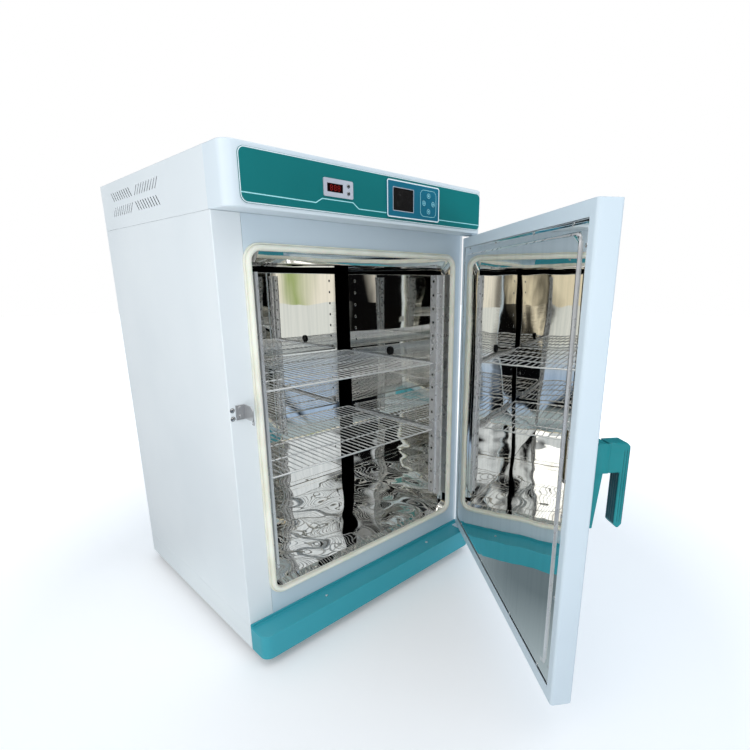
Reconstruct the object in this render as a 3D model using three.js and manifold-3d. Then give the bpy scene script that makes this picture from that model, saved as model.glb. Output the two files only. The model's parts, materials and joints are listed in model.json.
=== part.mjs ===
import * as THREE from 'three';
import { mergeVertices } from 'three/addons/utils/BufferGeometryUtils.js';
import Module from 'manifold-3d';

// Drying oven with a swinging door, in millimetres, +Z up, door side toward -Y.
// The origin is on the floor, under the middle of the cabinet's front face.

// Chamber and walls
const CHAMBER_WIDTH = 600;
const CHAMBER_DEPTH = 496;
const CHAMBER_HEIGHT = 750;
const LEFT_WALL = 86;
const RIGHT_WALL = 64;
const FLOOR_WALL = 133;
const CEILING_WALL = 92;
const PLENUM_DEPTH = 50;
const REAR_WALL = 98;
const FOOT_HEIGHT = 25;
const HEADER_HEIGHT = 112;

// Sheet metal and fits
const SHEET = 1.5;
const CASTING = 2;
const GAP = 0.3;
const RUN_GAP = 0.5;
const OVERRUN = 4;
const FINE_SIDES = 20;
const SIDES = 16;
const SMALL_SIDES = 8;
const HOLE_SIDES = 6;
const CORNER_STEPS = 4;

// Base
const SKIRT_HEIGHT = 62;
const PAN_RIM = 12;
const PLINTH_REACH = 63;
const PLINTH_HEIGHT = 60;
const PLINTH_CORNER = 22;
const UPSTAND_HEIGHT = 8;
const UPSTAND_THICKNESS = 4;
const LEDGE_SCREW_RADIUS = 4;
const LEDGE_SCREW_HEIGHT = 1.6;
const LEDGE_SCREW_SETBACK = 35;
const LEDGE_SCREW_SHARES = [0.264, 0.771];
const FOOT_PAD_RADIUS = 20;
const FOOT_PAD_HEIGHT = 7;
const FOOT_STEM_RADIUS = 6;
const FOOT_INSET_X = 55;
const FOOT_INSET_Y = 50;

// Front frame, gasket and striker
const LEFT_STILE = 60;
const RIGHT_STILE = 11;
const MOUTH_INSET_LEFT = 13;
const MOUTH_INSET_RIGHT = 12;
const MOUTH_DROP = 3;
const MOUTH_RISE = 22;
const MOUTH_CORNER = 22;
const COLLAR_DEPTH = 22;
const GASKET_WIDTH = 16;
const GASKET_HEIGHT = 12.2;
const GASKET_SECTION_SHARES = [[0, 0], [0.05, 0.55], [0.3, 0.93], [0.55, 1], [0.82, 0.8], [1, 0]];
const STRIKER_INSET = 33;
const STRIKER_THICKNESS = 2.5;
const STRIKER_REACH = 38;
const STRIKER_DROP = 12;
const STRIKER_RISE = 20;
const STRIKER_TOOTH = 8;
const STRIKER_TOOTH_LENGTH = 6;
const STRIKER_NOSE = 9;
const STRIKER_PLATE_WIDTH = 21;
const STRIKER_PLATE_THICKNESS = 2;
const STRIKER_SCREW_RADIUS = 4;
const STRIKER_SCREW_HEIGHT = 2.2;
const STRIKER_SCREW_SPACING = 18;

// Ducts, posts, rails and shelves
const DUCT_WIDTH = 18;
const DUCT_FRONT = 24;
const DUCT_REAR_SLOT = 40;
const DUCT_FLOOR_GAP = 16;
const DUCT_CEILING_GAP = 3;
const DUCT_HEM = 5;
const HOLE_PITCH = 40;
const HOLE_RADIUS = 3.8;
const LOWEST_HOLE_RISE = 73;
const HIGHEST_HOLE_DROP = 34;
const REAR_HOLE_INSET = 34;
const FRONT_HOLE_Y = 52;
const POST_FLOOR_GAP = 39;
const POST_CEILING_GAP = 19;
const STRIP_WIDTH = 28;
const CHANNEL_FRONT = 10;
const CHANNEL_WIDTH = 26;
const CHANNEL_REACH = 7;
const POST_SCREW_RADIUS = 4;
const POST_SCREW_HEIGHT = 1.5;
const POST_SCREW_INSET = 9;
const PORT_Y = 245;
const PORT_RISE = 489;
const PORT_FLANGE_RADIUS = 14;
const PORT_FLANGE_THICKNESS = 5;
const PORT_STEM_RADIUS = 10;
const SHELF_FRONT = 35;
const SHELF_REAR_GAP = 28;
const SHELF_SIDE_GAP = 9.5;
const SHELF_FRAME = 5;
const SHELF_WIRE = 3;
const SHELF_WIRE_PITCH = 19.4;
const SHELF_BAYS = 4;
const UPPER_SHELF_RISE = 471;
const LOWER_SHELF_RISE = 261;
const RAIL_THICKNESS = 1.5;
const RAIL_SIDE_GAP = 4.5;
const RAIL_LEDGE = 9;
const RAIL_RISE = 3;
const RAIL_HOOK = 3.6;
const RAIL_HOOK_LENGTH = 5;
const RAIL_EAR = 14;

// Back panel, fan, heater and insulation
const BACK_TRAY = 8;
const BACK_FLOOR_GAP = 14;
const BACK_CEILING_GAP = 12;
const BACK_POST_RADIUS = 5;
const BACK_POST_INSET = 60;
const FAN_RADIUS = 75;
const FAN_DISC = 2;
const FAN_BLADES = 10;
const FAN_BLADE_DEPTH = 20;
const FAN_BLADE_THICKNESS = 2;
const FAN_BLADE_LENGTH = 40;
const FAN_HUB_RADIUS = 14;
const FAN_SHAFT_RADIUS = 5;
const FAN_FRONT_GAP = 6;
const FAN_SHAFT_BORE = 8;
const MOTOR_RADIUS = 42;
const MOTOR_LENGTH = 66;
const MOTOR_FLANGE_RADIUS = 50;
const MOTOR_FLANGE_THICKNESS = 4;
const MOTOR_ROOM = 6;
const HEATER_RADIUS = 98;
const HEATER_TUBE_RADIUS = 4;
const HEATER_TERMINAL_OFFSET = 14;
const INSULATION_ROOM = 3;
const INSULATION_BOTTOM = 45;
const INSULATION_TOP_GAP = 12;

// Header
const HEADER_OVERHANG = 68;
const HEADER_CORNER = 24;
const CAP_SEAM = 7;
const DECK_DROP = 4;
const FASCIA_INSET_LEFT = 27;
const FASCIA_INSET_RIGHT = 15;
const FASCIA_MARGIN_BOTTOM = 8;
const FASCIA_MARGIN_TOP = 9;
const FASCIA_CORNER = 14;
const FASCIA_THICKNESS = 1.5;
const BEZEL_X = -128;
const BEZEL_LIFT = 1.5;
const BEZEL_WIDTH = 76;
const BEZEL_HEIGHT = 35;
const BEZEL_CORNER = 3;
const BEZEL_THICKNESS = 2.6;
const DISPLAY_SHIFT = 9;
const DISPLAY_WIDTH = 40;
const DISPLAY_HEIGHT = 16;
const WINDOW_SINK = 0.6;
const BUTTON_SHIFT = 25.5;
const BUTTON_SPACING = 14.5;
const BUTTON_RADIUS = 3.6;
const BUTTON_PROUD = 1.2;
const BUTTON_TRAVEL = 1;
const CONTROLLER_X = 97.7;
const CONTROLLER_WIDTH = 178.6;
const CONTROLLER_HEIGHT = 81.3;
const CONTROLLER_CORNER = 6;
const CONTROLLER_THICKNESS = 2.6;
const LCD_SHIFT = 36.5;
const LCD_WIDTH = 65.5;
const LCD_HEIGHT = 48;
const KEYPAD_SHIFT = 49;
const KEY_ARM_X = 16.6;
const KEY_ARM_Z = 17.8;
const KEY_RADIUS = 7;
const KEY_PROUD = 1;
const BOARD_LEFT = 200;
const BOARD_RIGHT = 230;
const BOARD_HEIGHT = 70;
const BOARD_THICKNESS = 1.6;
const BOARD_STANDOFF = 10;
const BOARD_STANDOFF_RADIUS = 4;
const BOARD_STANDOFF_INSET = 12;
const VENT_COUNT = 9;
const VENT_PITCH = 16.4;
const VENT_SLOT = 5;
const VENT_HEIGHT = 21;
const VENT_LEAN = 20;
const VENT_ROW_GAP = 14;
const VENT_RISE = 58;
const VENT_REAR_DISTANCE = 244;
const VENT_MIDDLE_GAP = 10;
const INLET_INSET = 100;
const INLET_RISE = 48;
const INLET_WIDTH = 50;
const INLET_HEIGHT = 34;
const INLET_DEPTH = 28;
const INLET_WALL = 3;

// Door
const DOOR_THICKNESS = 43;
const DOOR_STAND_OFF = 16;
const DOOR_TOP_GAP = 10.5;
const DOOR_BOTTOM_GAP = 10.5;
const DOOR_REST_ANGLE = 53.5;
const DOOR_CORNER = 6;
const PIVOT_INSET = 8;
const PIN_RADIUS = 3;
const PIN_LENGTH = 25;
const BUSH_RADIUS = 6;
const BUSH_BORE = 3.45;
const BUSH_FLANGE_RADIUS = 9;
const BUSH_FLANGE_THICKNESS = 1.4;
const BUSH_LENGTH = 23;
const BRACKET_THICKNESS = 3;
const BRACKET_WIDTH = 30;
const BRACKET_DEPTH = 44;
const BRACKET_MARGIN = 1.5;
const COLLAR_RADIUS = 6;
const BORDER_SIDE = 21;
const BORDER_END = 25;
const FLANGE_LAP = 4;
const PLATEAU_SIDE = 39;
const PLATEAU_TOP = 43;
const PLATEAU_BOTTOM = 54;
const PLATEAU_RAISE = 4.5;
const PLATEAU_CORNER = 16;
const LINER_SCREW_RADIUS = 3.5;
const LINER_SCREW_HEIGHT = 1.2;
const LINER_SCREW_INSET = 9;
const LINER_SIDE_SCREWS = 6;
const LINER_END_SCREWS = 4;
const STRIKER_SLOT_WIDTH = 9;
const STRIKER_SLOT_DROP = 57;
const STRIKER_SLOT_RISE = 32;
const PAD_LATCH_ROOM = 45;
const PAD_HINGE_ROOM = 23;
const PAD_END_ROOM = 30;

// Handle and latch
const HANDLE_INSET = 13;
const HANDLE_WIDTH = 30;
const LATCH_RISE = 504.5;
const HANDLE_DROP = 144;
const HANDLE_RISE = 12;
const BASE_THIN = 10;
const BASE_THICK = 20;
const BASE_SHOULDER_DROP = 40;
const BASE_SHELF_DROP = 22;
const LEVER_PIVOT_OUT = 14;
const EAR_RADIUS = 12;
const EAR_WIDTH = 4.7;
const LEVER_CLEAR = 13;
const LEVER_REACH = 66;
const LEVER_GRIP_THICKNESS = 15;
const LEVER_BLOCK_DROP = 42;
const LEVER_TIP_DROP = 146;
const LEVER_TIP_CORNER = 6;
const LEVER_NOSE_CORNER = 8;
const FLUTE_COUNT = 3;
const FLUTE_WIDTH = 4;
const FLUTE_DEPTH = 1.2;
const FLUTE_SPACING = 7.5;
const FLUTE_BOTTOM_MARGIN = 12;
const TONGUE_RADIUS = 10;
const LEVER_PIN_RADIUS = 2.5;
const LEVER_PIN_BORE = 3;
const HOOK_THICKNESS = 4;
const HOOK_EYE_RADIUS = 8;
const HOOK_ARM_DROP = 35;
const HOOK_ARM_HEIGHT = 8;
const HOOK_TOOTH_LENGTH = 5;
const HOOK_TOOTH_BEHIND = 0.8;
const HOOK_TOOTH_CLEARANCE = 1.4;
const HOOK_SLOT_WIDTH = 12;
const HOOK_SLOT_DROP = 52;
const HOOK_SLOT_TOP_DROP = 6;
const HOOK_STEM_REACH = 9;

// Derived places
const CABINET_WIDTH = LEFT_WALL + CHAMBER_WIDTH + RIGHT_WALL;
const CABINET_DEPTH = CHAMBER_DEPTH + PLENUM_DEPTH + REAR_WALL;
const CABINET_RIGHT = CABINET_WIDTH / 2;
const CABINET_LEFT = -CABINET_RIGHT;
const CHAMBER_LEFT = CABINET_LEFT + LEFT_WALL;
const CHAMBER_RIGHT = CABINET_RIGHT - RIGHT_WALL;
const CHAMBER_FLOOR = FOOT_HEIGHT + FLOOR_WALL;
const CHAMBER_CEILING = CHAMBER_FLOOR + CHAMBER_HEIGHT;
const HEADER_BOTTOM = CHAMBER_CEILING + CEILING_WALL;
const HEADER_TOP = HEADER_BOTTOM + HEADER_HEIGHT;
const BODY_TOP = HEADER_BOTTOM - GAP;
const SKIRT_TOP = FOOT_HEIGHT + SKIRT_HEIGHT;
const LEDGE_TOP = FOOT_HEIGHT + PLINTH_HEIGHT;
const LINER_LEFT = CHAMBER_LEFT - DUCT_WIDTH;
const LINER_RIGHT = CHAMBER_RIGHT + DUCT_WIDTH;
const LINER_REAR = CHAMBER_DEPTH + PLENUM_DEPTH;
const MOUTH_LEFT = CHAMBER_LEFT - MOUTH_INSET_LEFT;
const MOUTH_RIGHT = CHAMBER_RIGHT + MOUTH_INSET_RIGHT;
const MOUTH_BOTTOM = CHAMBER_FLOOR - MOUTH_DROP;
const MOUTH_TOP = CHAMBER_CEILING + MOUTH_RISE;
const REAR_HOLE_Y = CHAMBER_DEPTH - DUCT_REAR_SLOT - REAR_HOLE_INSET;
const LOWEST_HOLE = CHAMBER_FLOOR + LOWEST_HOLE_RISE;
const HIGHEST_HOLE = CHAMBER_CEILING - HIGHEST_HOLE_DROP;
const POST_BOTTOM = CHAMBER_FLOOR + POST_FLOOR_GAP;
const POST_TOP = CHAMBER_CEILING - POST_CEILING_GAP;
const PORT_Z = CHAMBER_FLOOR + PORT_RISE;
const SHELF_DEPTH = CHAMBER_DEPTH - SHELF_REAR_GAP - SHELF_FRONT;
const UPPER_SHELF_Z = CHAMBER_FLOOR + UPPER_SHELF_RISE;
const LOWER_SHELF_Z = CHAMBER_FLOOR + LOWER_SHELF_RISE;
const FAN_X = (CHAMBER_LEFT + CHAMBER_RIGHT) / 2;
const FAN_Z = (CHAMBER_FLOOR + CHAMBER_CEILING) / 2;
const HEADER_FRONT = -HEADER_OVERHANG;
const FASCIA_BACK = HEADER_FRONT - GAP;
const FASCIA_FRONT = FASCIA_BACK - FASCIA_THICKNESS;
const TRIM_BACK = FASCIA_FRONT - GAP;
const DOOR_INNER = -DOOR_STAND_OFF;
const DOOR_OUTER = DOOR_INNER - DOOR_THICKNESS;
const DOOR_BOTTOM = LEDGE_TOP + DOOR_BOTTOM_GAP;
const DOOR_TOP = HEADER_BOTTOM - DOOR_TOP_GAP;
const PIVOT_X = CABINET_RIGHT - PIVOT_INSET;
const PIVOT_Y = DOOR_INNER - DOOR_THICKNESS / 2;
const FLANGE_FACE = DOOR_INNER - SHEET - GAP;
const HANDLE_LEFT = CABINET_LEFT + HANDLE_INSET;
const HANDLE_RIGHT = HANDLE_LEFT + HANDLE_WIDTH;
const HANDLE_BACK = DOOR_OUTER - GAP;
const LEVER_PIVOT_Y = DOOR_OUTER - LEVER_PIVOT_OUT;
const LEVER_PIVOT_Z = DOOR_BOTTOM + LATCH_RISE;
const HANDLE_BOTTOM = LEVER_PIVOT_Z - HANDLE_DROP;
const HANDLE_TOP = LEVER_PIVOT_Z + HANDLE_RISE;
const LEVER_BLOCK_BOTTOM = LEVER_PIVOT_Z - LEVER_BLOCK_DROP;
const LEVER_TIP_Z = LEVER_PIVOT_Z - LEVER_TIP_DROP;
const HOOK_SLOT_BOTTOM = LEVER_PIVOT_Z - HOOK_SLOT_DROP;
const HOOK_SLOT_TOP = LEVER_PIVOT_Z - HOOK_SLOT_TOP_DROP;
const STRIKER_MID = CABINET_LEFT + STRIKER_INSET;
const STRIKER_BOTTOM = LEVER_PIVOT_Z - STRIKER_DROP;
const STRIKER_TOP = LEVER_PIVOT_Z + STRIKER_RISE;
const STRIKER_SLOT_BOTTOM = LEVER_PIVOT_Z - STRIKER_SLOT_DROP;
const STRIKER_SLOT_TOP = LEVER_PIVOT_Z + STRIKER_SLOT_RISE;

const wasm = await Module();
wasm.setup();

const oven = new THREE.Group();
const door = new THREE.Group();
oven.add(door);

// Closed mesh with shared vertices, ready for joining and cutting
function solid(geometry) {
  const bare = geometry.clone();
  bare.deleteAttribute('normal');
  bare.deleteAttribute('uv');
  const merged = mergeVertices(bare);
  return new wasm.Manifold(new wasm.Mesh({
    numProp: 3,
    vertProperties: Float32Array.from(merged.attributes.position.array),
    triVerts: Uint32Array.from(merged.index.array),
  }));
}

function geometryOf(body) {
  const mesh = body.getMesh();
  const geometry = new THREE.BufferGeometry();
  geometry.setAttribute('position', new THREE.BufferAttribute(mesh.vertProperties, mesh.numProp));
  geometry.setIndex(new THREE.BufferAttribute(mesh.triVerts, 1));
  geometry.computeVertexNormals();
  return geometry;
}

function joined(bodies) {
  return bodies.reduce((sum, body) => sum.add(body));
}

function block(x0, x1, y0, y1, z0, z1) {
  const geometry = new THREE.BoxGeometry(x1 - x0, y1 - y0, z1 - z0);
  geometry.translate((x0 + x1) / 2, (y0 + y1) / 2, (z0 + z1) / 2);
  return solid(geometry);
}

// Outlines drawn in a plane and pushed along the axis across it
const AXIS_X = new THREE.Vector3(1, 0, 0);
const AXIS_Y = new THREE.Vector3(0, 1, 0);
const AXIS_Z = new THREE.Vector3(0, 0, 1);

function pushed(shape, length) {
  const curveSegments = CORNER_STEPS;
  return new THREE.ExtrudeGeometry(shape, { depth: length, bevelEnabled: false, curveSegments });
}

function alongX(shapeYZ, x0, x1) {
  const geometry = pushed(shapeYZ, x1 - x0);
  geometry.applyMatrix4(new THREE.Matrix4().makeBasis(AXIS_Y, AXIS_Z, AXIS_X));
  geometry.translate(x0, 0, 0);
  return solid(geometry);
}

function alongY(shapeXZ, y0, y1) {
  const geometry = pushed(shapeXZ, y1 - y0);
  geometry.rotateX(Math.PI / 2);
  geometry.translate(0, y1, 0);
  return solid(geometry);
}

function alongZ(shapeXY, z0, z1) {
  const geometry = pushed(shapeXY, z1 - z0);
  geometry.translate(0, 0, z0);
  return solid(geometry);
}

function outline(points) {
  return new THREE.Shape(points.map(([u, v]) => new THREE.Vector2(u, v)));
}

function roundedRect(left, right, bottom, top, radius) {
  const shape = new THREE.Shape();
  shape.moveTo(left + radius, bottom);
  shape.lineTo(right - radius, bottom);
  shape.absarc(right - radius, bottom + radius, radius, -Math.PI / 2, 0);
  shape.lineTo(right, top - radius);
  shape.absarc(right - radius, top - radius, radius, 0, Math.PI / 2);
  shape.lineTo(left + radius, top);
  shape.absarc(left + radius, top - radius, radius, Math.PI / 2, Math.PI);
  shape.lineTo(left, bottom + radius);
  shape.absarc(left + radius, bottom + radius, radius, Math.PI, 3 * Math.PI / 2);
  return shape;
}

// Plan outline with its two front corners rounded, front toward -Y
function frontRounded(left, right, front, rear, radius) {
  const shape = new THREE.Shape();
  shape.moveTo(left, rear);
  shape.lineTo(left, front + radius);
  shape.absarc(left + radius, front + radius, radius, Math.PI, 3 * Math.PI / 2);
  shape.lineTo(right - radius, front);
  shape.absarc(right - radius, front + radius, radius, -Math.PI / 2, 0);
  shape.lineTo(right, rear);
  shape.closePath();
  return shape;
}

function rodX(radius, x0, x1, y, z, sides = SIDES) {
  const geometry = new THREE.CylinderGeometry(radius, radius, x1 - x0, sides);
  geometry.rotateZ(-Math.PI / 2);
  geometry.translate((x0 + x1) / 2, y, z);
  return solid(geometry);
}

function rodY(radius, y0, y1, x, z, sides = SIDES) {
  const geometry = new THREE.CylinderGeometry(radius, radius, y1 - y0, sides);
  geometry.translate(x, (y0 + y1) / 2, z);
  return solid(geometry);
}

function rodZ(radius, z0, z1, x, y, sides = SIDES) {
  const geometry = new THREE.CylinderGeometry(radius, radius, z1 - z0, sides);
  geometry.rotateX(Math.PI / 2);
  geometry.translate(x, y, (z0 + z1) / 2);
  return solid(geometry);
}

function finish(color, roughness, metalness) {
  return { color, roughness, metalness };
}

const WHITE_PAINT = finish(0xe6edf0, 0.35, 0);
const FRONT_PAINT = finish(0xc6d8e6, 0.35, 0);
const TEAL_PAINT = finish(0x2b8a92, 0.4, 0);
const MIRROR_STEEL = finish(0xc9cccb, 0.08, 1);
const DULL_STEEL = finish(0xa8abab, 0.35, 1);
const CHROME = finish(0xd8dadb, 0.12, 1);
const SEAL_RUBBER = finish(0xe3e6d6, 0.6, 0);
const BLACK_RUBBER = finish(0x141414, 0.7, 0);
const WOOL = finish(0xc9bd84, 0.95, 0);

function addPart(parent, name, body, look) {
  const mesh = new THREE.Mesh(geometryOf(body), new THREE.MeshStandardMaterial(look));
  mesh.name = name;
  parent.add(mesh);
  return mesh;
}

// Base: pan, skirts, plinth and levelling feet
function basePan() {
  const left = CABINET_LEFT + SHEET + GAP;
  const right = CABINET_RIGHT - SHEET - GAP;
  const front = SHEET + GAP;
  const rear = CABINET_DEPTH - SHEET - GAP;
  const tray = block(left, right, front, rear, FOOT_HEIGHT, FOOT_HEIGHT + PAN_RIM);
  const floor = FOOT_HEIGHT + SHEET;
  return tray.subtract(
    block(left + SHEET, right - SHEET, front + SHEET, rear - SHEET, floor, floor + PAN_RIM));
}

function skirt(outer, inner) {
  const low = Math.min(outer, inner);
  const high = Math.max(outer, inner);
  return block(low, high, 0, CABINET_DEPTH, FOOT_HEIGHT, SKIRT_TOP - GAP);
}

function plinth() {
  const rear = -GAP;
  const front = -PLINTH_REACH;
  const shell = frontRounded(CABINET_LEFT, CABINET_RIGHT, front, rear, PLINTH_CORNER);
  const room = frontRounded(CABINET_LEFT + CASTING, CABINET_RIGHT - CASTING,
    front + CASTING, rear - CASTING, PLINTH_CORNER - CASTING);
  const upstand = block(CABINET_LEFT, CABINET_RIGHT, rear - UPSTAND_THICKNESS, rear,
    LEDGE_TOP - CASTING, LEDGE_TOP + UPSTAND_HEIGHT);
  const screws = LEDGE_SCREW_SHARES.map((share) => rodZ(LEDGE_SCREW_RADIUS, LEDGE_TOP - CASTING,
    LEDGE_TOP + LEDGE_SCREW_HEIGHT, CABINET_LEFT + share * CABINET_WIDTH,
    front + LEDGE_SCREW_SETBACK, SMALL_SIDES));
  return joined([
    alongZ(shell, FOOT_HEIGHT, LEDGE_TOP)
      .subtract(alongZ(room, FOOT_HEIGHT - OVERRUN, LEDGE_TOP - CASTING)),
    upstand,
    ...screws,
  ]);
}

function foot(x, y) {
  const top = FOOT_HEIGHT - GAP;
  const points = [
    [0, 0], [FOOT_PAD_RADIUS, 0], [FOOT_PAD_RADIUS, FOOT_PAD_HEIGHT],
    [FOOT_STEM_RADIUS, 2 * FOOT_PAD_HEIGHT], [FOOT_STEM_RADIUS, top], [0, top],
  ].map(([r, z]) => new THREE.Vector2(r, z));
  const geometry = new THREE.LatheGeometry(points, SIDES);
  geometry.rotateX(Math.PI / 2);
  geometry.translate(x, y, 0);
  return solid(geometry);
}

addPart(oven, 'base_pan', basePan(), DULL_STEEL);
addPart(oven, 'skirt_left', skirt(CABINET_LEFT, CABINET_LEFT + SHEET), WHITE_PAINT);
addPart(oven, 'skirt_right', skirt(CABINET_RIGHT, CABINET_RIGHT - SHEET), WHITE_PAINT);
addPart(oven, 'plinth', plinth(), TEAL_PAINT);

const FOOT_PLACES = {
  foot_front_left: [CABINET_LEFT + FOOT_INSET_X, FOOT_INSET_Y],
  foot_front_right: [CABINET_RIGHT - FOOT_INSET_X, FOOT_INSET_Y],
  foot_rear_left: [CABINET_LEFT + FOOT_INSET_X, CABINET_DEPTH - FOOT_INSET_Y],
  foot_rear_right: [CABINET_RIGHT - FOOT_INSET_X, CABINET_DEPTH - FOOT_INSET_Y],
};
for (const [name, [x, y]] of Object.entries(FOOT_PLACES)) {
  addPart(oven, name, foot(x, y), BLACK_RUBBER);
}

// Cabinet sides, back and front frame
function sidePanel(outer, inward, stile) {
  const inner = outer + inward * SHEET;
  const seam = outer + inward * (stile - GAP / 2);
  const plan = [
    [outer, 0], [seam, 0], [seam, SHEET], [inner, SHEET],
    [inner, CABINET_DEPTH - SHEET - GAP], [outer, CABINET_DEPTH - SHEET - GAP],
  ];
  if (inward < 0) {
    plan.reverse();
  }
  return alongZ(outline(plan), SKIRT_TOP, BODY_TOP);
}

function rearPanel() {
  const bottom = FOOT_HEIGHT;
  return block(CABINET_LEFT + SHEET + GAP, CABINET_RIGHT - SHEET - GAP,
    CABINET_DEPTH - SHEET, CABINET_DEPTH, bottom, BODY_TOP);
}

function mouthOutline(offset, rise) {
  const top = CHAMBER_CEILING + rise * MOUTH_RISE;
  const bottom = CHAMBER_FLOOR - rise * MOUTH_DROP;
  return roundedRect(MOUTH_LEFT - offset, MOUTH_RIGHT + offset, bottom - offset, top + offset,
    MOUTH_CORNER + offset);
}

// Closed body between two outlines of equal point count, one at each y
function between(shapeA, yA, shapeB, yB) {
  const ringA = shapeA.getPoints(CORNER_STEPS);
  const ringB = shapeB.getPoints(CORNER_STEPS);
  ringA.pop();
  ringB.pop();
  const count = ringA.length;
  const position = [];
  ringA.forEach((p) => position.push(p.x, yA, p.y));
  ringB.forEach((p) => position.push(p.x, yB, p.y));
  const index = [];
  for (let i = 0; i < count; i += 1) {
    const next = (i + 1) % count;
    index.push(i, i + count, next, next, i + count, next + count);
  }
  for (let i = 1; i < count - 1; i += 1) {
    index.push(0, i, i + 1);
    index.push(count, count + i + 1, count + i);
  }
  const geometry = new THREE.BufferGeometry();
  geometry.setAttribute('position', new THREE.Float32BufferAttribute(position, 3));
  geometry.setIndex(index);
  return solid(geometry);
}

function frontFrame() {
  const plate = block(CABINET_LEFT + LEFT_STILE + GAP / 2, CABINET_RIGHT - RIGHT_STILE - GAP / 2,
    0, SHEET, SKIRT_TOP, BODY_TOP);
  const collar = between(mouthOutline(SHEET, 1), 0, mouthOutline(SHEET, 0), COLLAR_DEPTH);
  const slope = 1 + OVERRUN / COLLAR_DEPTH;
  const hole = between(mouthOutline(0, slope), -OVERRUN, mouthOutline(0, 1 - slope),
    COLLAR_DEPTH + OVERRUN);
  return plate.add(collar).subtract(hole);
}

// Ring of door seal: each profile point becomes a rounded rectangle
function gasket() {
  const rings = GASKET_SECTION_SHARES.map(([width, height]) => {
    const points = mouthOutline(width * GASKET_WIDTH, 1).getPoints(CORNER_STEPS);
    points.pop();
    return points.map((p) => [p.x, -GAP - height * GASKET_HEIGHT, p.y]);
  });
  const count = rings[0].length;
  const position = rings.flat(2);
  const index = [];
  for (let ring = 0; ring < rings.length; ring += 1) {
    const after = (ring + 1) % rings.length;
    for (let i = 0; i < count; i += 1) {
      const next = (i + 1) % count;
      const a = ring * count + i;
      const b = ring * count + next;
      const c = after * count + i;
      const d = after * count + next;
      index.push(a, c, b, b, c, d);
    }
  }
  const geometry = new THREE.BufferGeometry();
  geometry.setAttribute('position', new THREE.Float32BufferAttribute(position, 3));
  geometry.setIndex(index);
  return solid(geometry);
}

// Hooked steel tongue that the door's latch catches
function striker() {
  const left = STRIKER_MID - STRIKER_THICKNESS / 2;
  const right = STRIKER_MID + STRIKER_THICKNESS / 2;
  const tip = -STRIKER_REACH;
  const tongue = outline([
    [-GAP, STRIKER_BOTTOM], [tip + STRIKER_TOOTH_LENGTH, STRIKER_BOTTOM],
    [tip + STRIKER_TOOTH_LENGTH, STRIKER_BOTTOM - STRIKER_TOOTH],
    [tip, STRIKER_BOTTOM - STRIKER_TOOTH], [tip, STRIKER_TOP - STRIKER_NOSE],
    [tip + STRIKER_NOSE, STRIKER_TOP], [-GAP, STRIKER_TOP],
  ].reverse());
  const plateLeft = right - STRIKER_PLATE_WIDTH;
  const face = -GAP - STRIKER_PLATE_THICKNESS;
  const middle = (STRIKER_BOTTOM + STRIKER_TOP) / 2;
  const screwX = (plateLeft + left) / 2;
  const screws = [-1, 1].map((side) => rodY(STRIKER_SCREW_RADIUS, face - STRIKER_SCREW_HEIGHT,
    face, screwX, middle + side * STRIKER_SCREW_SPACING / 2, SMALL_SIDES));
  return joined([
    alongX(tongue, left, right),
    block(plateLeft, right, face, -GAP, STRIKER_BOTTOM, STRIKER_TOP),
    ...screws,
  ]);
}

addPart(oven, 'side_panel_left', sidePanel(CABINET_LEFT, 1, LEFT_STILE), WHITE_PAINT);
addPart(oven, 'side_panel_right', sidePanel(CABINET_RIGHT, -1, RIGHT_STILE), WHITE_PAINT);
addPart(oven, 'back_panel', rearPanel(), WHITE_PAINT);
addPart(oven, 'front_frame', frontFrame(), FRONT_PAINT);
addPart(oven, 'chamber_gasket', gasket(), SEAL_RUBBER);
addPart(oven, 'striker', striker(), CHROME);

// Chamber: liner, ducts, back panel, posts, rails and shelves
function holeHeights() {
  const heights = [];
  for (let z = LOWEST_HOLE; z <= HIGHEST_HOLE; z += HOLE_PITCH) {
    heights.push(z);
  }
  return heights;
}

function nearestHole(z) {
  const nearer = (best, hole) => (Math.abs(hole - z) < Math.abs(best - z) ? hole : best);
  return holeHeights().reduce(nearer);
}

function chamberLiner() {
  const front = COLLAR_DEPTH + GAP;
  const outer = block(LINER_LEFT - SHEET, LINER_RIGHT + SHEET, front, LINER_REAR + SHEET,
    CHAMBER_FLOOR - SHEET, CHAMBER_CEILING + SHEET);
  const room = block(LINER_LEFT, LINER_RIGHT, front - OVERRUN, LINER_REAR,
    CHAMBER_FLOOR, CHAMBER_CEILING);
  const bore = rodY(FAN_SHAFT_BORE, LINER_REAR - OVERRUN, LINER_REAR + SHEET + OVERRUN,
    FAN_X, FAN_Z);
  return outer.subtract(room).subtract(bore);
}

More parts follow.
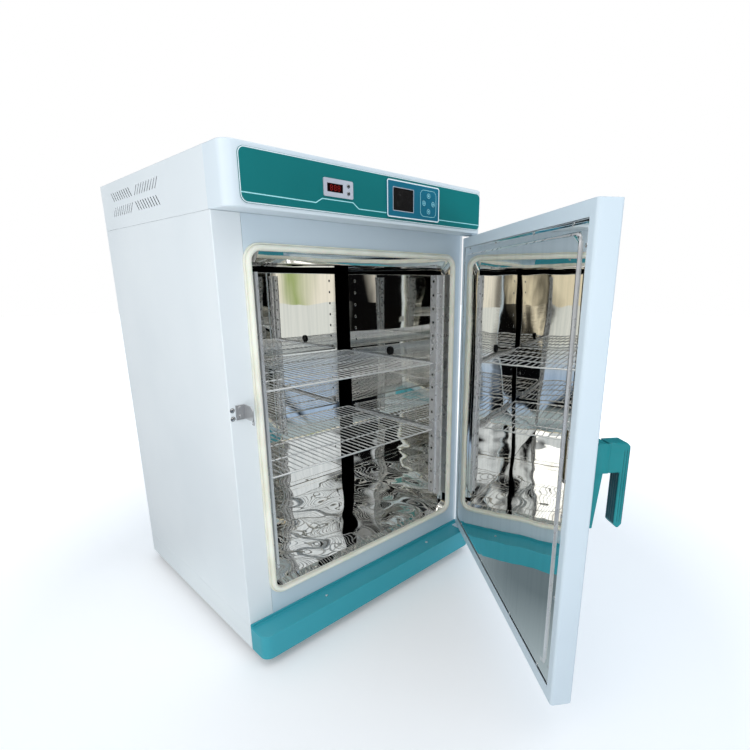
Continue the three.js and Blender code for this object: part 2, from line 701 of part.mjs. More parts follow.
// Duct cover: face sheet toward the chamber, folded to the liner in front, open behind
function sideDuct(face, outward) {
  const wall = face + outward * (DUCT_WIDTH - GAP);
  const skin = face + outward * SHEET;
  const hem = face + outward * DUCT_HEM;
  const rear = CHAMBER_DEPTH - DUCT_REAR_SLOT;
  const plan = [
    [face, DUCT_FRONT], [wall, DUCT_FRONT], [wall, DUCT_FRONT + SHEET], [skin, DUCT_FRONT + SHEET],
    [skin, rear - SHEET], [hem, rear - SHEET], [hem, rear], [face, rear],
  ];
  if (outward < 0) {
    plan.reverse();
  }
  let cover = alongZ(outline(plan), CHAMBER_FLOOR + DUCT_FLOOR_GAP,
    CHAMBER_CEILING - DUCT_CEILING_GAP);
  const low = Math.min(face, skin) - OVERRUN / 2;
  const high = Math.max(face, skin) + OVERRUN / 2;
  const rearHoles = holeHeights().map((z) => rodX(HOLE_RADIUS, low, high, REAR_HOLE_Y, z, HOLE_SIDES));
  const hookHoles = [UPPER_SHELF_Z, LOWER_SHELF_Z].map((z) => rodX(HOLE_RADIUS, low, high,
    FRONT_HOLE_Y, nearestHole(z), HOLE_SIDES));
  cover = cover.subtract(joined([...rearHoles, ...hookHoles]));
  if (outward > 0) {
    cover = cover.subtract(rodX(PORT_STEM_RADIUS + RUN_GAP, low, high, PORT_Y, PORT_Z, FINE_SIDES));
  }
  return cover;
}

function backTray() {
  const bottom = CHAMBER_FLOOR + BACK_FLOOR_GAP;
  const top = CHAMBER_CEILING - BACK_CEILING_GAP;
  const rear = CHAMBER_DEPTH + BACK_TRAY;
  const tray = block(CHAMBER_LEFT, CHAMBER_RIGHT, CHAMBER_DEPTH, rear, bottom, top).subtract(
    block(CHAMBER_LEFT + SHEET, CHAMBER_RIGHT - SHEET, CHAMBER_DEPTH + SHEET, rear + OVERRUN,
      bottom + SHEET, top - SHEET));
  const posts = [];
  for (const x of [CHAMBER_LEFT + BACK_POST_INSET, CHAMBER_RIGHT - BACK_POST_INSET]) {
    for (const z of [bottom + BACK_POST_INSET, top - BACK_POST_INSET]) {
      posts.push(rodY(BACK_POST_RADIUS, CHAMBER_DEPTH + SHEET / 2, LINER_REAR - GAP, x, z,
        SMALL_SIDES));
    }
  }
  return joined([tray, ...posts]);
}

// Perforated strip on the duct face, beside a channel that opens toward the chamber
function shelfPost(face, inward) {
  const back = face + inward * GAP;
  const front = back + inward * SHEET;
  const lip = back + inward * CHANNEL_REACH;
  const channelRear = CHANNEL_FRONT + CHANNEL_WIDTH;
  const plan = [
    [back, CHANNEL_FRONT], [lip, CHANNEL_FRONT], [lip, CHANNEL_FRONT + SHEET],
    [front, CHANNEL_FRONT + SHEET], [front, channelRear - SHEET], [lip, channelRear - SHEET],
    [lip, channelRear], [front, channelRear], [front, channelRear + STRIP_WIDTH],
    [back, channelRear + STRIP_WIDTH],
  ];
  if (inward < 0) {
    plan.reverse();
  }
  const low = Math.min(back, front);
  const high = Math.max(back, front);
  const post = alongZ(outline(plan), POST_BOTTOM, POST_TOP);
  const holes = holeHeights().map((z) => rodX(HOLE_RADIUS, low - OVERRUN / 2, high + OVERRUN / 2,
    FRONT_HOLE_Y, z, HOLE_SIDES));
  const head = front + inward * POST_SCREW_HEIGHT;
  const screws = [POST_BOTTOM + POST_SCREW_INSET, POST_TOP - POST_SCREW_INSET].map(
    (z) => rodX(POST_SCREW_RADIUS, Math.min(back, head), Math.max(back, head), FRONT_HOLE_Y, z,
      SMALL_SIDES));
  return joined([post.subtract(joined(holes)), ...screws]);
}

// Angle rail under a shelf's edge, with an ear and a hook for a front and a rear hole
function shelfRail(face, inward, shelfZ) {
  const hookZ = nearestHole(shelfZ);
  const web = face + inward * RAIL_SIDE_GAP;
  const webInner = web + inward * RAIL_THICKNESS;
  const webMiddle = web + inward * RAIL_THICKNESS / 2;
  const ledgeTop = shelfZ - SHELF_FRAME / 2 - GAP;
  const ledgeBottom = ledgeTop - RAIL_THICKNESS;
  const bottom = ledgeBottom - RAIL_THICKNESS;
  const top = shelfZ + RAIL_RISE;
  const earBottom = Math.min(bottom, hookZ - RAIL_HOOK) - RAIL_THICKNESS;
  const earTop = Math.max(top, hookZ + RAIL_HOOK) + RAIL_THICKNESS;
  const front = FRONT_HOLE_Y - RAIL_EAR / 2;
  const rear = REAR_HOLE_Y + RAIL_EAR / 2;
  const side = outline([
    [front, earBottom], [front + RAIL_EAR, earBottom], [front + RAIL_EAR, bottom],
    [rear - RAIL_EAR, bottom], [rear - RAIL_EAR, earBottom], [rear, earBottom], [rear, earTop],
    [rear - RAIL_EAR, earTop], [rear - RAIL_EAR, top], [front + RAIL_EAR, top],
    [front + RAIL_EAR, earTop], [front, earTop],
  ]);
  const plate = alongX(side, Math.min(web, webInner), Math.max(web, webInner));
  const reach = webInner + inward * RAIL_LEDGE;
  const ledge = block(Math.min(webMiddle, reach), Math.max(webMiddle, reach),
    front + RAIL_EAR / 2, rear - RAIL_EAR / 2, ledgeBottom, ledgeTop);
  const end = face - inward * RAIL_HOOK_LENGTH;
  const hooks = [FRONT_HOLE_Y, REAR_HOLE_Y].map((y) => block(
    Math.min(end, webMiddle), Math.max(end, webMiddle), y - RAIL_HOOK / 2, y + RAIL_HOOK / 2,
    hookZ - RAIL_HOOK / 2, hookZ + RAIL_HOOK / 2));
  return joined([plate, ledge, ...hooks]);
}

// Wire shelf: stout frame with cross bars, and wires running front to back through them
function wireShelf(shelfZ) {
  const left = CHAMBER_LEFT + SHELF_SIDE_GAP;
  const right = CHAMBER_RIGHT - SHELF_SIDE_GAP;
  const rear = SHELF_FRONT + SHELF_DEPTH;
  const frame = outline([[left, SHELF_FRONT], [right, SHELF_FRONT], [right, rear], [left, rear]]);
  const bay = (SHELF_DEPTH - SHELF_FRAME) / SHELF_BAYS;
  for (let i = 0; i < SHELF_BAYS; i += 1) {
    const y0 = SHELF_FRONT + i * bay + SHELF_FRAME;
    const y1 = SHELF_FRONT + (i + 1) * bay;
    const x0 = left + SHELF_FRAME;
    const x1 = right - SHELF_FRAME;
    frame.holes.push(outline([[x0, y0], [x0, y1], [x1, y1], [x1, y0]]));
  }
  const bodies = [alongZ(frame, shelfZ - SHELF_FRAME / 2, shelfZ + SHELF_FRAME / 2)];
  const spaces = Math.round((right - left - SHELF_FRAME) / SHELF_WIRE_PITCH);
  const pitch = (right - left - SHELF_FRAME) / spaces;
  for (let i = 1; i < spaces; i += 1) {
    const x = left + SHELF_FRAME / 2 + i * pitch;
    bodies.push(block(x - SHELF_WIRE / 2, x + SHELF_WIRE / 2, SHELF_FRONT + SHELF_FRAME / 2,
      rear - SHELF_FRAME / 2, shelfZ - SHELF_WIRE / 2, shelfZ + SHELF_WIRE / 2));
  }
  return joined(bodies);
}

function portPlug() {
  const face = CHAMBER_RIGHT - GAP;
  return rodX(PORT_FLANGE_RADIUS, face - PORT_FLANGE_THICKNESS, face, PORT_Y, PORT_Z, FINE_SIDES)
    .add(rodX(PORT_STEM_RADIUS, face - PORT_FLANGE_THICKNESS / 2, LINER_RIGHT - GAP,
      PORT_Y, PORT_Z, FINE_SIDES));
}

addPart(oven, 'chamber_liner', chamberLiner(), MIRROR_STEEL);
addPart(oven, 'side_duct_left', sideDuct(CHAMBER_LEFT, -1), MIRROR_STEEL);
addPart(oven, 'side_duct_right', sideDuct(CHAMBER_RIGHT, 1), MIRROR_STEEL);
addPart(oven, 'chamber_back_panel', backTray(), MIRROR_STEEL);
addPart(oven, 'shelf_post_left', shelfPost(CHAMBER_LEFT, 1), CHROME);
addPart(oven, 'shelf_post_right', shelfPost(CHAMBER_RIGHT, -1), CHROME);
const SHELF_HEIGHTS = { upper: UPPER_SHELF_Z, lower: LOWER_SHELF_Z };
for (const [level, z] of Object.entries(SHELF_HEIGHTS)) {
  addPart(oven, `shelf_rail_${level}_left`, shelfRail(CHAMBER_LEFT, 1, z), DULL_STEEL);
  addPart(oven, `shelf_rail_${level}_right`, shelfRail(CHAMBER_RIGHT, -1, z), DULL_STEEL);
  addPart(oven, `wire_shelf_${level}`, wireShelf(z), CHROME);
}
addPart(oven, 'port_plug', portPlug(), BLACK_RUBBER);

// Fan, heater and insulation behind and around the chamber
const FAN_FRONT = CHAMBER_DEPTH + BACK_TRAY + FAN_FRONT_GAP;
const FAN_DISC_FRONT = FAN_FRONT + FAN_BLADE_DEPTH;
const MOTOR_REAR = CABINET_DEPTH - SHEET - GAP;
const MOTOR_FRONT = MOTOR_REAR - MOTOR_LENGTH;

function fanImpeller() {
  const disc = rodY(FAN_RADIUS, FAN_DISC_FRONT, FAN_DISC_FRONT + FAN_DISC, 0, 0, FINE_SIDES);
  const hub = rodY(FAN_HUB_RADIUS, FAN_FRONT, FAN_DISC_FRONT + FAN_DISC / 2, 0, 0);
  const shaft = rodY(FAN_SHAFT_RADIUS, FAN_DISC_FRONT, MOTOR_FRONT - GAP, 0, 0);
  const bodies = [disc, hub, shaft];
  for (let blade = 0; blade < FAN_BLADES; blade += 1) {
    const geometry = new THREE.BoxGeometry(FAN_BLADE_LENGTH, FAN_BLADE_DEPTH, FAN_BLADE_THICKNESS);
    geometry.translate(FAN_RADIUS - FAN_BLADE_LENGTH / 2 - FAN_BLADE_THICKNESS,
      FAN_DISC_FRONT - FAN_BLADE_DEPTH / 2 + FAN_DISC / 2, 0);
    geometry.rotateY(blade / FAN_BLADES * 2 * Math.PI);
    bodies.push(solid(geometry));
  }
  return joined(bodies);
}

function fanMotor() {
  return rodY(MOTOR_RADIUS, MOTOR_FRONT, MOTOR_REAR, FAN_X, FAN_Z, FINE_SIDES)
    .add(rodY(MOTOR_FLANGE_RADIUS, MOTOR_REAR - MOTOR_FLANGE_THICKNESS, MOTOR_REAR,
      FAN_X, FAN_Z, FINE_SIDES));
}

function heaterRing() {
  const middle = FAN_DISC_FRONT - FAN_BLADE_DEPTH / 2;
  const geometry = new THREE.TorusGeometry(HEATER_RADIUS, HEATER_TUBE_RADIUS, SMALL_SIDES, FINE_SIDES);
  geometry.rotateX(Math.PI / 2);
  geometry.translate(FAN_X, middle, FAN_Z);
  const terminals = [-1, 1].map((side) => rodY(HEATER_TUBE_RADIUS, middle, LINER_REAR - GAP,
    FAN_X + side * HEATER_TERMINAL_OFFSET, FAN_Z - HEATER_RADIUS, SMALL_SIDES));
  return joined([solid(geometry), ...terminals]);
}

function insulationBlock() {
  const side = SHEET + GAP;
  const front = COLLAR_DEPTH + SHEET;
  const rear = CABINET_DEPTH - SHEET - 2 * GAP;
  const lining = SHEET + GAP;
  const outer = block(CABINET_LEFT + side, CABINET_RIGHT - side, front, rear, INSULATION_BOTTOM,
    HEADER_BOTTOM - INSULATION_TOP_GAP);
  const room = block(LINER_LEFT - lining, LINER_RIGHT + lining, front - OVERRUN,
    LINER_REAR + lining, CHAMBER_FLOOR - lining, CHAMBER_CEILING + lining);
  const pocket = rodY(MOTOR_FLANGE_RADIUS + INSULATION_ROOM, MOTOR_FRONT - MOTOR_ROOM,
    rear + OVERRUN, FAN_X, FAN_Z, FINE_SIDES);
  const bore = rodY(FAN_SHAFT_BORE, LINER_REAR - OVERRUN, rear, FAN_X, FAN_Z);
  return outer.subtract(room).subtract(pocket).subtract(bore);
}

const impeller = addPart(oven, 'fan_impeller', fanImpeller(), DULL_STEEL);
impeller.position.set(FAN_X, 0, FAN_Z);
addPart(oven, 'fan_motor', fanMotor(), DULL_STEEL);
addPart(oven, 'heater_element', heaterRing(), DULL_STEEL);
addPart(oven, 'insulation_block', insulationBlock(), WOOL);

// Header: vented housing, cap, fascia, limiter, controller and board
// Two rows of slots that lean away from a middle point, toward the front and the rear
function ventSlots(wallX) {
  const middle = CABINET_DEPTH - VENT_REAR_DISTANCE;
  const bodies = [];
  for (const along of [-1, 1]) {
    for (const up of [-1, 1]) {
      const near = HEADER_BOTTOM + VENT_RISE + up * VENT_ROW_GAP / 2;
      const far = near + up * VENT_HEIGHT;
      for (let i = 0; i < VENT_COUNT; i += 1) {
        const y = middle + along * (VENT_MIDDLE_GAP + i * VENT_PITCH);
        const leaning = y + along * VENT_LEAN;
        const half = VENT_SLOT / 2;
        const corners = [
          [y - half, near], [y + half, near], [leaning + half, far], [leaning - half, far],
        ];
        bodies.push(alongX(outline(corners), wallX - OVERRUN, wallX + OVERRUN));
      }
    }
  }
  return joined(bodies);
}

function headerHousing() {
  const front = CAP_SEAM + GAP;
  const shell = block(CABINET_LEFT, CABINET_RIGHT, front, CABINET_DEPTH, HEADER_BOTTOM, HEADER_TOP);
  const room = block(CABINET_LEFT + SHEET, CABINET_RIGHT - SHEET, front - OVERRUN,
    CABINET_DEPTH - SHEET, HEADER_BOTTOM - OVERRUN, HEADER_TOP - SHEET);
  return shell.subtract(room).subtract(ventSlots(CABINET_LEFT)).subtract(ventSlots(CABINET_RIGHT));
}

function headerCap() {
  const shell = frontRounded(CABINET_LEFT, CABINET_RIGHT, HEADER_FRONT, CAP_SEAM, HEADER_CORNER);
  const room = frontRounded(CABINET_LEFT + CASTING, CABINET_RIGHT - CASTING,
    HEADER_FRONT + CASTING, CAP_SEAM + OVERRUN, HEADER_CORNER - CASTING);
  return alongZ(shell, HEADER_BOTTOM, HEADER_TOP)
    .subtract(alongZ(room, HEADER_BOTTOM + CASTING, HEADER_TOP - CASTING));
}

function deckPlate() {
  const side = SHEET + GAP;
  const top = HEADER_BOTTOM - DECK_DROP + SHEET;
  return block(CABINET_LEFT + side, CABINET_RIGHT - side, side, CABINET_DEPTH - side, top - SHEET, top);
}

const FASCIA_BOTTOM = HEADER_BOTTOM + FASCIA_MARGIN_BOTTOM;
const FASCIA_TOP = HEADER_TOP - FASCIA_MARGIN_TOP;
const FASCIA_MIDDLE = (FASCIA_BOTTOM + FASCIA_TOP) / 2;

function fascia() {
  return alongY(roundedRect(CABINET_LEFT + FASCIA_INSET_LEFT, CABINET_RIGHT - FASCIA_INSET_RIGHT,
    FASCIA_BOTTOM, FASCIA_TOP, FASCIA_CORNER), FASCIA_FRONT, FASCIA_BACK);
}

const BEZEL_FRONT = TRIM_BACK - BEZEL_THICKNESS;
const CONTROLLER_FRONT = TRIM_BACK - CONTROLLER_THICKNESS;
const BEZEL_Z = FASCIA_MIDDLE + BEZEL_LIFT;
const DISPLAY_X = BEZEL_X - DISPLAY_SHIFT;
const BUTTON_X = BEZEL_X + BUTTON_SHIFT;
const BUTTON_PLACES = {
  limiter_button_up: [BUTTON_X, BEZEL_Z + BUTTON_SPACING / 2],
  limiter_button_down: [BUTTON_X, BEZEL_Z - BUTTON_SPACING / 2],
};
const LCD_X = CONTROLLER_X - LCD_SHIFT;
const KEYPAD_X = CONTROLLER_X + KEYPAD_SHIFT;
const KEY_PLACES = {
  key_up: [KEYPAD_X, FASCIA_MIDDLE + KEY_ARM_Z],
  key_left: [KEYPAD_X - KEY_ARM_X, FASCIA_MIDDLE],
  key_right: [KEYPAD_X + KEY_ARM_X, FASCIA_MIDDLE],
  key_down: [KEYPAD_X, FASCIA_MIDDLE - KEY_ARM_Z],
};

function centredBlock(x, z, width, height, y0, y1) {
  return block(x - width / 2, x + width / 2, y0, y1, z - height / 2, z + height / 2);
}

// Panel with a window cut through it and a hole for each key
function keyedPanel([x, z, width, height, corner], front, window, places, holeRadius) {
  const shape = roundedRect(x - width / 2, x + width / 2, z - height / 2, z + height / 2, corner);
  const [windowX, windowZ, windowWidth, windowHeight] = window;
  const opening = centredBlock(windowX, windowZ, windowWidth + 2 * GAP, windowHeight + 2 * GAP,
    front - OVERRUN, TRIM_BACK + OVERRUN);
  const holes = Object.values(places).map(([keyX, keyZ]) => rodY(holeRadius, front - OVERRUN,
    TRIM_BACK + OVERRUN, keyX, keyZ));
  return alongY(shape, front, TRIM_BACK).subtract(joined([opening, ...holes]));
}

const DISPLAY_RECT = [DISPLAY_X, BEZEL_Z, DISPLAY_WIDTH, DISPLAY_HEIGHT];
const LCD_RECT = [LCD_X, FASCIA_MIDDLE, LCD_WIDTH, LCD_HEIGHT];

function limiterBezel() {
  return keyedPanel([BEZEL_X, BEZEL_Z, BEZEL_WIDTH, BEZEL_HEIGHT, BEZEL_CORNER], BEZEL_FRONT,
    DISPLAY_RECT, BUTTON_PLACES, BUTTON_RADIUS + RUN_GAP);
}

function limiterDisplay() {
  return centredBlock(...DISPLAY_RECT, BEZEL_FRONT + WINDOW_SINK, TRIM_BACK);
}

function controllerFrame() {
  return keyedPanel([CONTROLLER_X, FASCIA_MIDDLE, CONTROLLER_WIDTH, CONTROLLER_HEIGHT,
    CONTROLLER_CORNER], CONTROLLER_FRONT, LCD_RECT, KEY_PLACES, KEY_RADIUS + RUN_GAP);
}

function lcdWindow() {
  return centredBlock(...LCD_RECT, CONTROLLER_FRONT + WINDOW_SINK, TRIM_BACK);
}

function pushButton(radius, front, travel, [x, z]) {
  return rodY(radius, front, TRIM_BACK - travel - GAP, x, z);
}

function circuitBoard() {
  const skin = HEADER_FRONT + CASTING + GAP;
  const board = skin + BOARD_STANDOFF;
  const middle = (HEADER_BOTTOM + HEADER_TOP) / 2;
  const bottom = middle - BOARD_HEIGHT / 2;
  const top = middle + BOARD_HEIGHT / 2;
  const bodies = [block(-BOARD_LEFT, BOARD_RIGHT, board, board + BOARD_THICKNESS, bottom, top)];
  for (const x of [-BOARD_LEFT + BOARD_STANDOFF_INSET, BOARD_RIGHT - BOARD_STANDOFF_INSET]) {
    for (const z of [bottom + BOARD_STANDOFF_INSET, top - BOARD_STANDOFF_INSET]) {
      bodies.push(rodY(BOARD_STANDOFF_RADIUS, skin, board + BOARD_THICKNESS / 2, x, z, SMALL_SIDES));
    }
  }
  return joined(bodies);
}

function powerInlet() {
  const x = CABINET_RIGHT - INLET_INSET;
  const z = HEADER_BOTTOM + INLET_RISE;
  const back = CABINET_DEPTH + GAP;
  const box = centredBlock(x, z, INLET_WIDTH, INLET_HEIGHT, back, back + INLET_DEPTH);
  return box.subtract(centredBlock(x, z, INLET_WIDTH - 2 * INLET_WALL,
    INLET_HEIGHT - 2 * INLET_WALL, back + INLET_WALL, back + INLET_DEPTH + OVERRUN));
}

const FASCIA_PAINT = finish(0x1f7678, 0.3, 0);
const BEZEL_GREY = finish(0xb9c6c8, 0.45, 0);
const DARK_WINDOW = finish(0x2a1215, 0.15, 0);
const LCD_GLASS = finish(0x16222b, 0.1, 0);
const CONTROLLER_BLUE = finish(0x3c8f98, 0.4, 0);
const KEY_GREY = finish(0xcfe3ea, 0.5, 0);

addPart(oven, 'header_housing', headerHousing(), WHITE_PAINT);
addPart(oven, 'header_cap', headerCap(), WHITE_PAINT);
addPart(oven, 'deck_plate', deckPlate(), DULL_STEEL);
addPart(oven, 'fascia_panel', fascia(), FASCIA_PAINT);
addPart(oven, 'limiter_bezel', limiterBezel(), BEZEL_GREY);
addPart(oven, 'limiter_display', limiterDisplay(), DARK_WINDOW);
for (const [name, place] of Object.entries(BUTTON_PLACES)) {
  const front = BEZEL_FRONT - BUTTON_PROUD;
  addPart(oven, name, pushButton(BUTTON_RADIUS, front, BUTTON_TRAVEL, place), KEY_GREY);
}
addPart(oven, 'controller_frame', controllerFrame(), CONTROLLER_BLUE);
addPart(oven, 'lcd_window', lcdWindow(), LCD_GLASS);
for (const [name, place] of Object.entries(KEY_PLACES)) {
  const front = CONTROLLER_FRONT - KEY_PROUD;
  addPart(oven, name, pushButton(KEY_RADIUS, front, BUTTON_TRAVEL, place), KEY_GREY);
}
addPart(oven, 'circuit_board', circuitBoard(), finish(0x2d6b3c, 0.6, 0));
addPart(oven, 'power_inlet', powerInlet(), BLACK_RUBBER);

// Hinge brackets: a plate, a collar and the door's pin
const BRACKET_RIGHT = CABINET_RIGHT - BRACKET_MARGIN;
const BRACKET_LEFT = BRACKET_RIGHT - BRACKET_WIDTH;
const BRACKET_FRONT = PIVOT_Y - BRACKET_DEPTH / 2;

function hingeBracket(plateFrom, plateTo, collarEnd, pinEnd) {
  const plate = block(BRACKET_LEFT, BRACKET_RIGHT, BRACKET_FRONT, BRACKET_FRONT + BRACKET_DEPTH,
    Math.min(plateFrom, plateTo), Math.max(plateFrom, plateTo));
  const collar = rodZ(COLLAR_RADIUS, Math.min(plateFrom, collarEnd),
    Math.max(plateFrom, collarEnd), PIVOT_X, PIVOT_Y, FINE_SIDES);
  const pin = rodZ(PIN_RADIUS, Math.min(plateFrom, pinEnd), Math.max(plateFrom, pinEnd),
    PIVOT_X, PIVOT_Y, FINE_SIDES);
  return joined([plate, collar, pin]);
}

function bottomBracket() {
  const seat = LEDGE_TOP + GAP;
  const collarEnd = DOOR_BOTTOM - 2 * GAP - BUSH_FLANGE_THICKNESS;
  return hingeBracket(seat, seat + BRACKET_THICKNESS, collarEnd, DOOR_BOTTOM + PIN_LENGTH);
}

function topBracket() {
  const seat = HEADER_BOTTOM - GAP;
  const collarEnd = DOOR_TOP + 2 * GAP + BUSH_FLANGE_THICKNESS;
  return hingeBracket(seat, seat - BRACKET_THICKNESS, collarEnd, DOOR_TOP - PIN_LENGTH);
}

addPart(oven, 'hinge_bracket_bottom', bottomBracket(), DULL_STEEL);
addPart(oven, 'hinge_bracket_top', topBracket(), DULL_STEEL);

// Door, drawn closed and then swung about its pivot
function bush(edge, into) {
  const flangeNear = edge - into * GAP;
  const flangeFar = flangeNear - into * BUSH_FLANGE_THICKNESS;
  const sleeveEnd = edge + into * BUSH_LENGTH;
  const flange = rodZ(BUSH_FLANGE_RADIUS, Math.min(flangeNear, flangeFar),
    Math.max(flangeNear, flangeFar), PIVOT_X, PIVOT_Y, FINE_SIDES);
  const sleeve = rodZ(BUSH_RADIUS, Math.min(flangeFar, sleeveEnd), Math.max(flangeFar, sleeveEnd),
    PIVOT_X, PIVOT_Y, FINE_SIDES);
  const bore = rodZ(BUSH_BORE, Math.min(flangeFar, sleeveEnd) - OVERRUN,
    Math.max(flangeFar, sleeveEnd) + OVERRUN, PIVOT_X, PIVOT_Y, FINE_SIDES);
  return flange.add(sleeve).subtract(bore);
}

function doorShell() {
  const plan = roundedRect(CABINET_LEFT, CABINET_RIGHT, DOOR_OUTER, DOOR_INNER, DOOR_CORNER);
  const roomPlan = roundedRect(CABINET_LEFT + SHEET, CABINET_RIGHT - SHEET, DOOR_OUTER + SHEET,
    DOOR_INNER - SHEET, DOOR_CORNER - SHEET);
  const shell = alongZ(plan, DOOR_BOTTOM, DOOR_TOP)
    .subtract(alongZ(roomPlan, DOOR_BOTTOM + SHEET, DOOR_TOP - SHEET));
  const opening = block(CABINET_LEFT + BORDER_SIDE, CABINET_RIGHT - BORDER_SIDE,
    DOOR_INNER - OVERRUN, DOOR_INNER + OVERRUN, DOOR_BOTTOM + BORDER_END, DOOR_TOP - BORDER_END);
  const bushHole = rodZ(BUSH_RADIUS + GAP, DOOR_BOTTOM - OVERRUN, DOOR_TOP + OVERRUN,
    PIVOT_X, PIVOT_Y, FINE_SIDES);
  const latchHole = block(STRIKER_MID - HOOK_SLOT_WIDTH / 2, STRIKER_MID + HOOK_SLOT_WIDTH / 2,
    DOOR_OUTER - OVERRUN, DOOR_OUTER + OVERRUN, HOOK_SLOT_BOTTOM, HOOK_SLOT_TOP);
  return shell.subtract(joined([opening, bushHole, latchHole]));
}

// Pressed mirror-steel liner: screwed flange, raised plateau, hollow behind
function doorLiner() {
  const left = CABINET_LEFT + BORDER_SIDE - FLANGE_LAP;
  const right = CABINET_RIGHT - BORDER_SIDE + FLANGE_LAP;
  const bottom = DOOR_BOTTOM + BORDER_END - FLANGE_LAP;
  const top = DOOR_TOP - BORDER_END + FLANGE_LAP;
  const rear = FLANGE_FACE - SHEET;
  const plateauFace = FLANGE_FACE + PLATEAU_RAISE;
  const plateau = (inset) => roundedRect(CABINET_LEFT + PLATEAU_SIDE + inset,
    CABINET_RIGHT - PLATEAU_SIDE - inset, DOOR_BOTTOM + PLATEAU_BOTTOM + inset,
    DOOR_TOP - PLATEAU_TOP - inset, PLATEAU_CORNER - inset);
  const sheet = block(left, right, rear, FLANGE_FACE, bottom, top)
    .add(alongY(plateau(0), rear, plateauFace))
    .subtract(alongY(plateau(SHEET), rear - OVERRUN, plateauFace - SHEET));
  const slot = block(STRIKER_MID - STRIKER_SLOT_WIDTH / 2, STRIKER_MID + STRIKER_SLOT_WIDTH / 2,
    rear - OVERRUN, FLANGE_FACE + OVERRUN, STRIKER_SLOT_BOTTOM, STRIKER_SLOT_TOP);
  return joined([sheet.subtract(slot), ...linerScrews()]);
}

function linerScrews() {
  const left = CABINET_LEFT + BORDER_SIDE + LINER_SCREW_INSET;
  const right = CABINET_RIGHT - BORDER_SIDE - LINER_SCREW_INSET;
  const bottom = DOOR_BOTTOM + BORDER_END + LINER_SCREW_INSET;
  const top = DOOR_TOP - BORDER_END - LINER_SCREW_INSET;
  const places = [];
  for (let i = 0; i < LINER_SIDE_SCREWS; i += 1) {
    const z = bottom + (i + 1 / 2) / LINER_SIDE_SCREWS * (top - bottom);
    if (z < STRIKER_SLOT_BOTTOM - LINER_SCREW_RADIUS || z > STRIKER_SLOT_TOP + LINER_SCREW_RADIUS) {
      places.push([left, z]);
    }
    places.push([right, z]);
  }
  for (let i = 0; i < LINER_END_SCREWS; i += 1) {
    const x = left + (i + 1 / 2) / LINER_END_SCREWS * (right - left);
    places.push([x, top], [x, bottom]);
  }
  return places.map(([x, z]) => rodY(LINER_SCREW_RADIUS, FLANGE_FACE - SHEET / 2,
    FLANGE_FACE + LINER_SCREW_HEIGHT, x, z, SMALL_SIDES));
}

function doorPad() {
  return block(CABINET_LEFT + PAD_LATCH_ROOM, CABINET_RIGHT - PAD_HINGE_ROOM,
    DOOR_OUTER + SHEET + GAP, FLANGE_FACE - SHEET - GAP, DOOR_BOTTOM + PAD_END_ROOM,
    DOOR_TOP - PAD_END_ROOM);
}

// Handle base: tapered plate with two ears for the lever's pin
function handleBase() {
  const shoulder = LEVER_PIVOT_Z - BASE_SHOULDER_DROP;
  const shelf = LEVER_PIVOT_Z - BASE_SHELF_DROP;
  const side = outline([
    [HANDLE_BACK, HANDLE_BOTTOM], [HANDLE_BACK, HANDLE_TOP], [HANDLE_BACK - BASE_THIN, HANDLE_TOP],
    [HANDLE_BACK - BASE_THIN, shelf], [HANDLE_BACK - BASE_THICK, shelf],
    [HANDLE_BACK - BASE_THICK, shoulder], [HANDLE_BACK - BASE_THIN, HANDLE_BOTTOM],
  ]);
  const plate = alongX(side, HANDLE_LEFT, HANDLE_RIGHT);
  const ears = [HANDLE_LEFT, HANDLE_RIGHT - EAR_WIDTH].map((x) => rodX(EAR_RADIUS, x, x + EAR_WIDTH,
    LEVER_PIVOT_Y, LEVER_PIVOT_Z, FINE_SIDES));
  const slot = block(STRIKER_MID - HOOK_SLOT_WIDTH / 2, STRIKER_MID + HOOK_SLOT_WIDTH / 2,
    HANDLE_BACK - BASE_THICK - OVERRUN, HANDLE_BACK + OVERRUN, HOOK_SLOT_BOTTOM, HOOK_SLOT_TOP);
  const tongueRoom = rodX(TONGUE_RADIUS + RUN_GAP, HANDLE_LEFT + EAR_WIDTH,
    HANDLE_RIGHT - EAR_WIDTH, LEVER_PIVOT_Y, LEVER_PIVOT_Z, FINE_SIDES);
  const pinHole = rodX(LEVER_PIN_BORE, HANDLE_LEFT - OVERRUN, HANDLE_RIGHT + OVERRUN,
    LEVER_PIVOT_Y, LEVER_PIVOT_Z);
  return joined([plate, ...ears]).subtract(joined([slot, tongueRoom, pinHole]));
}

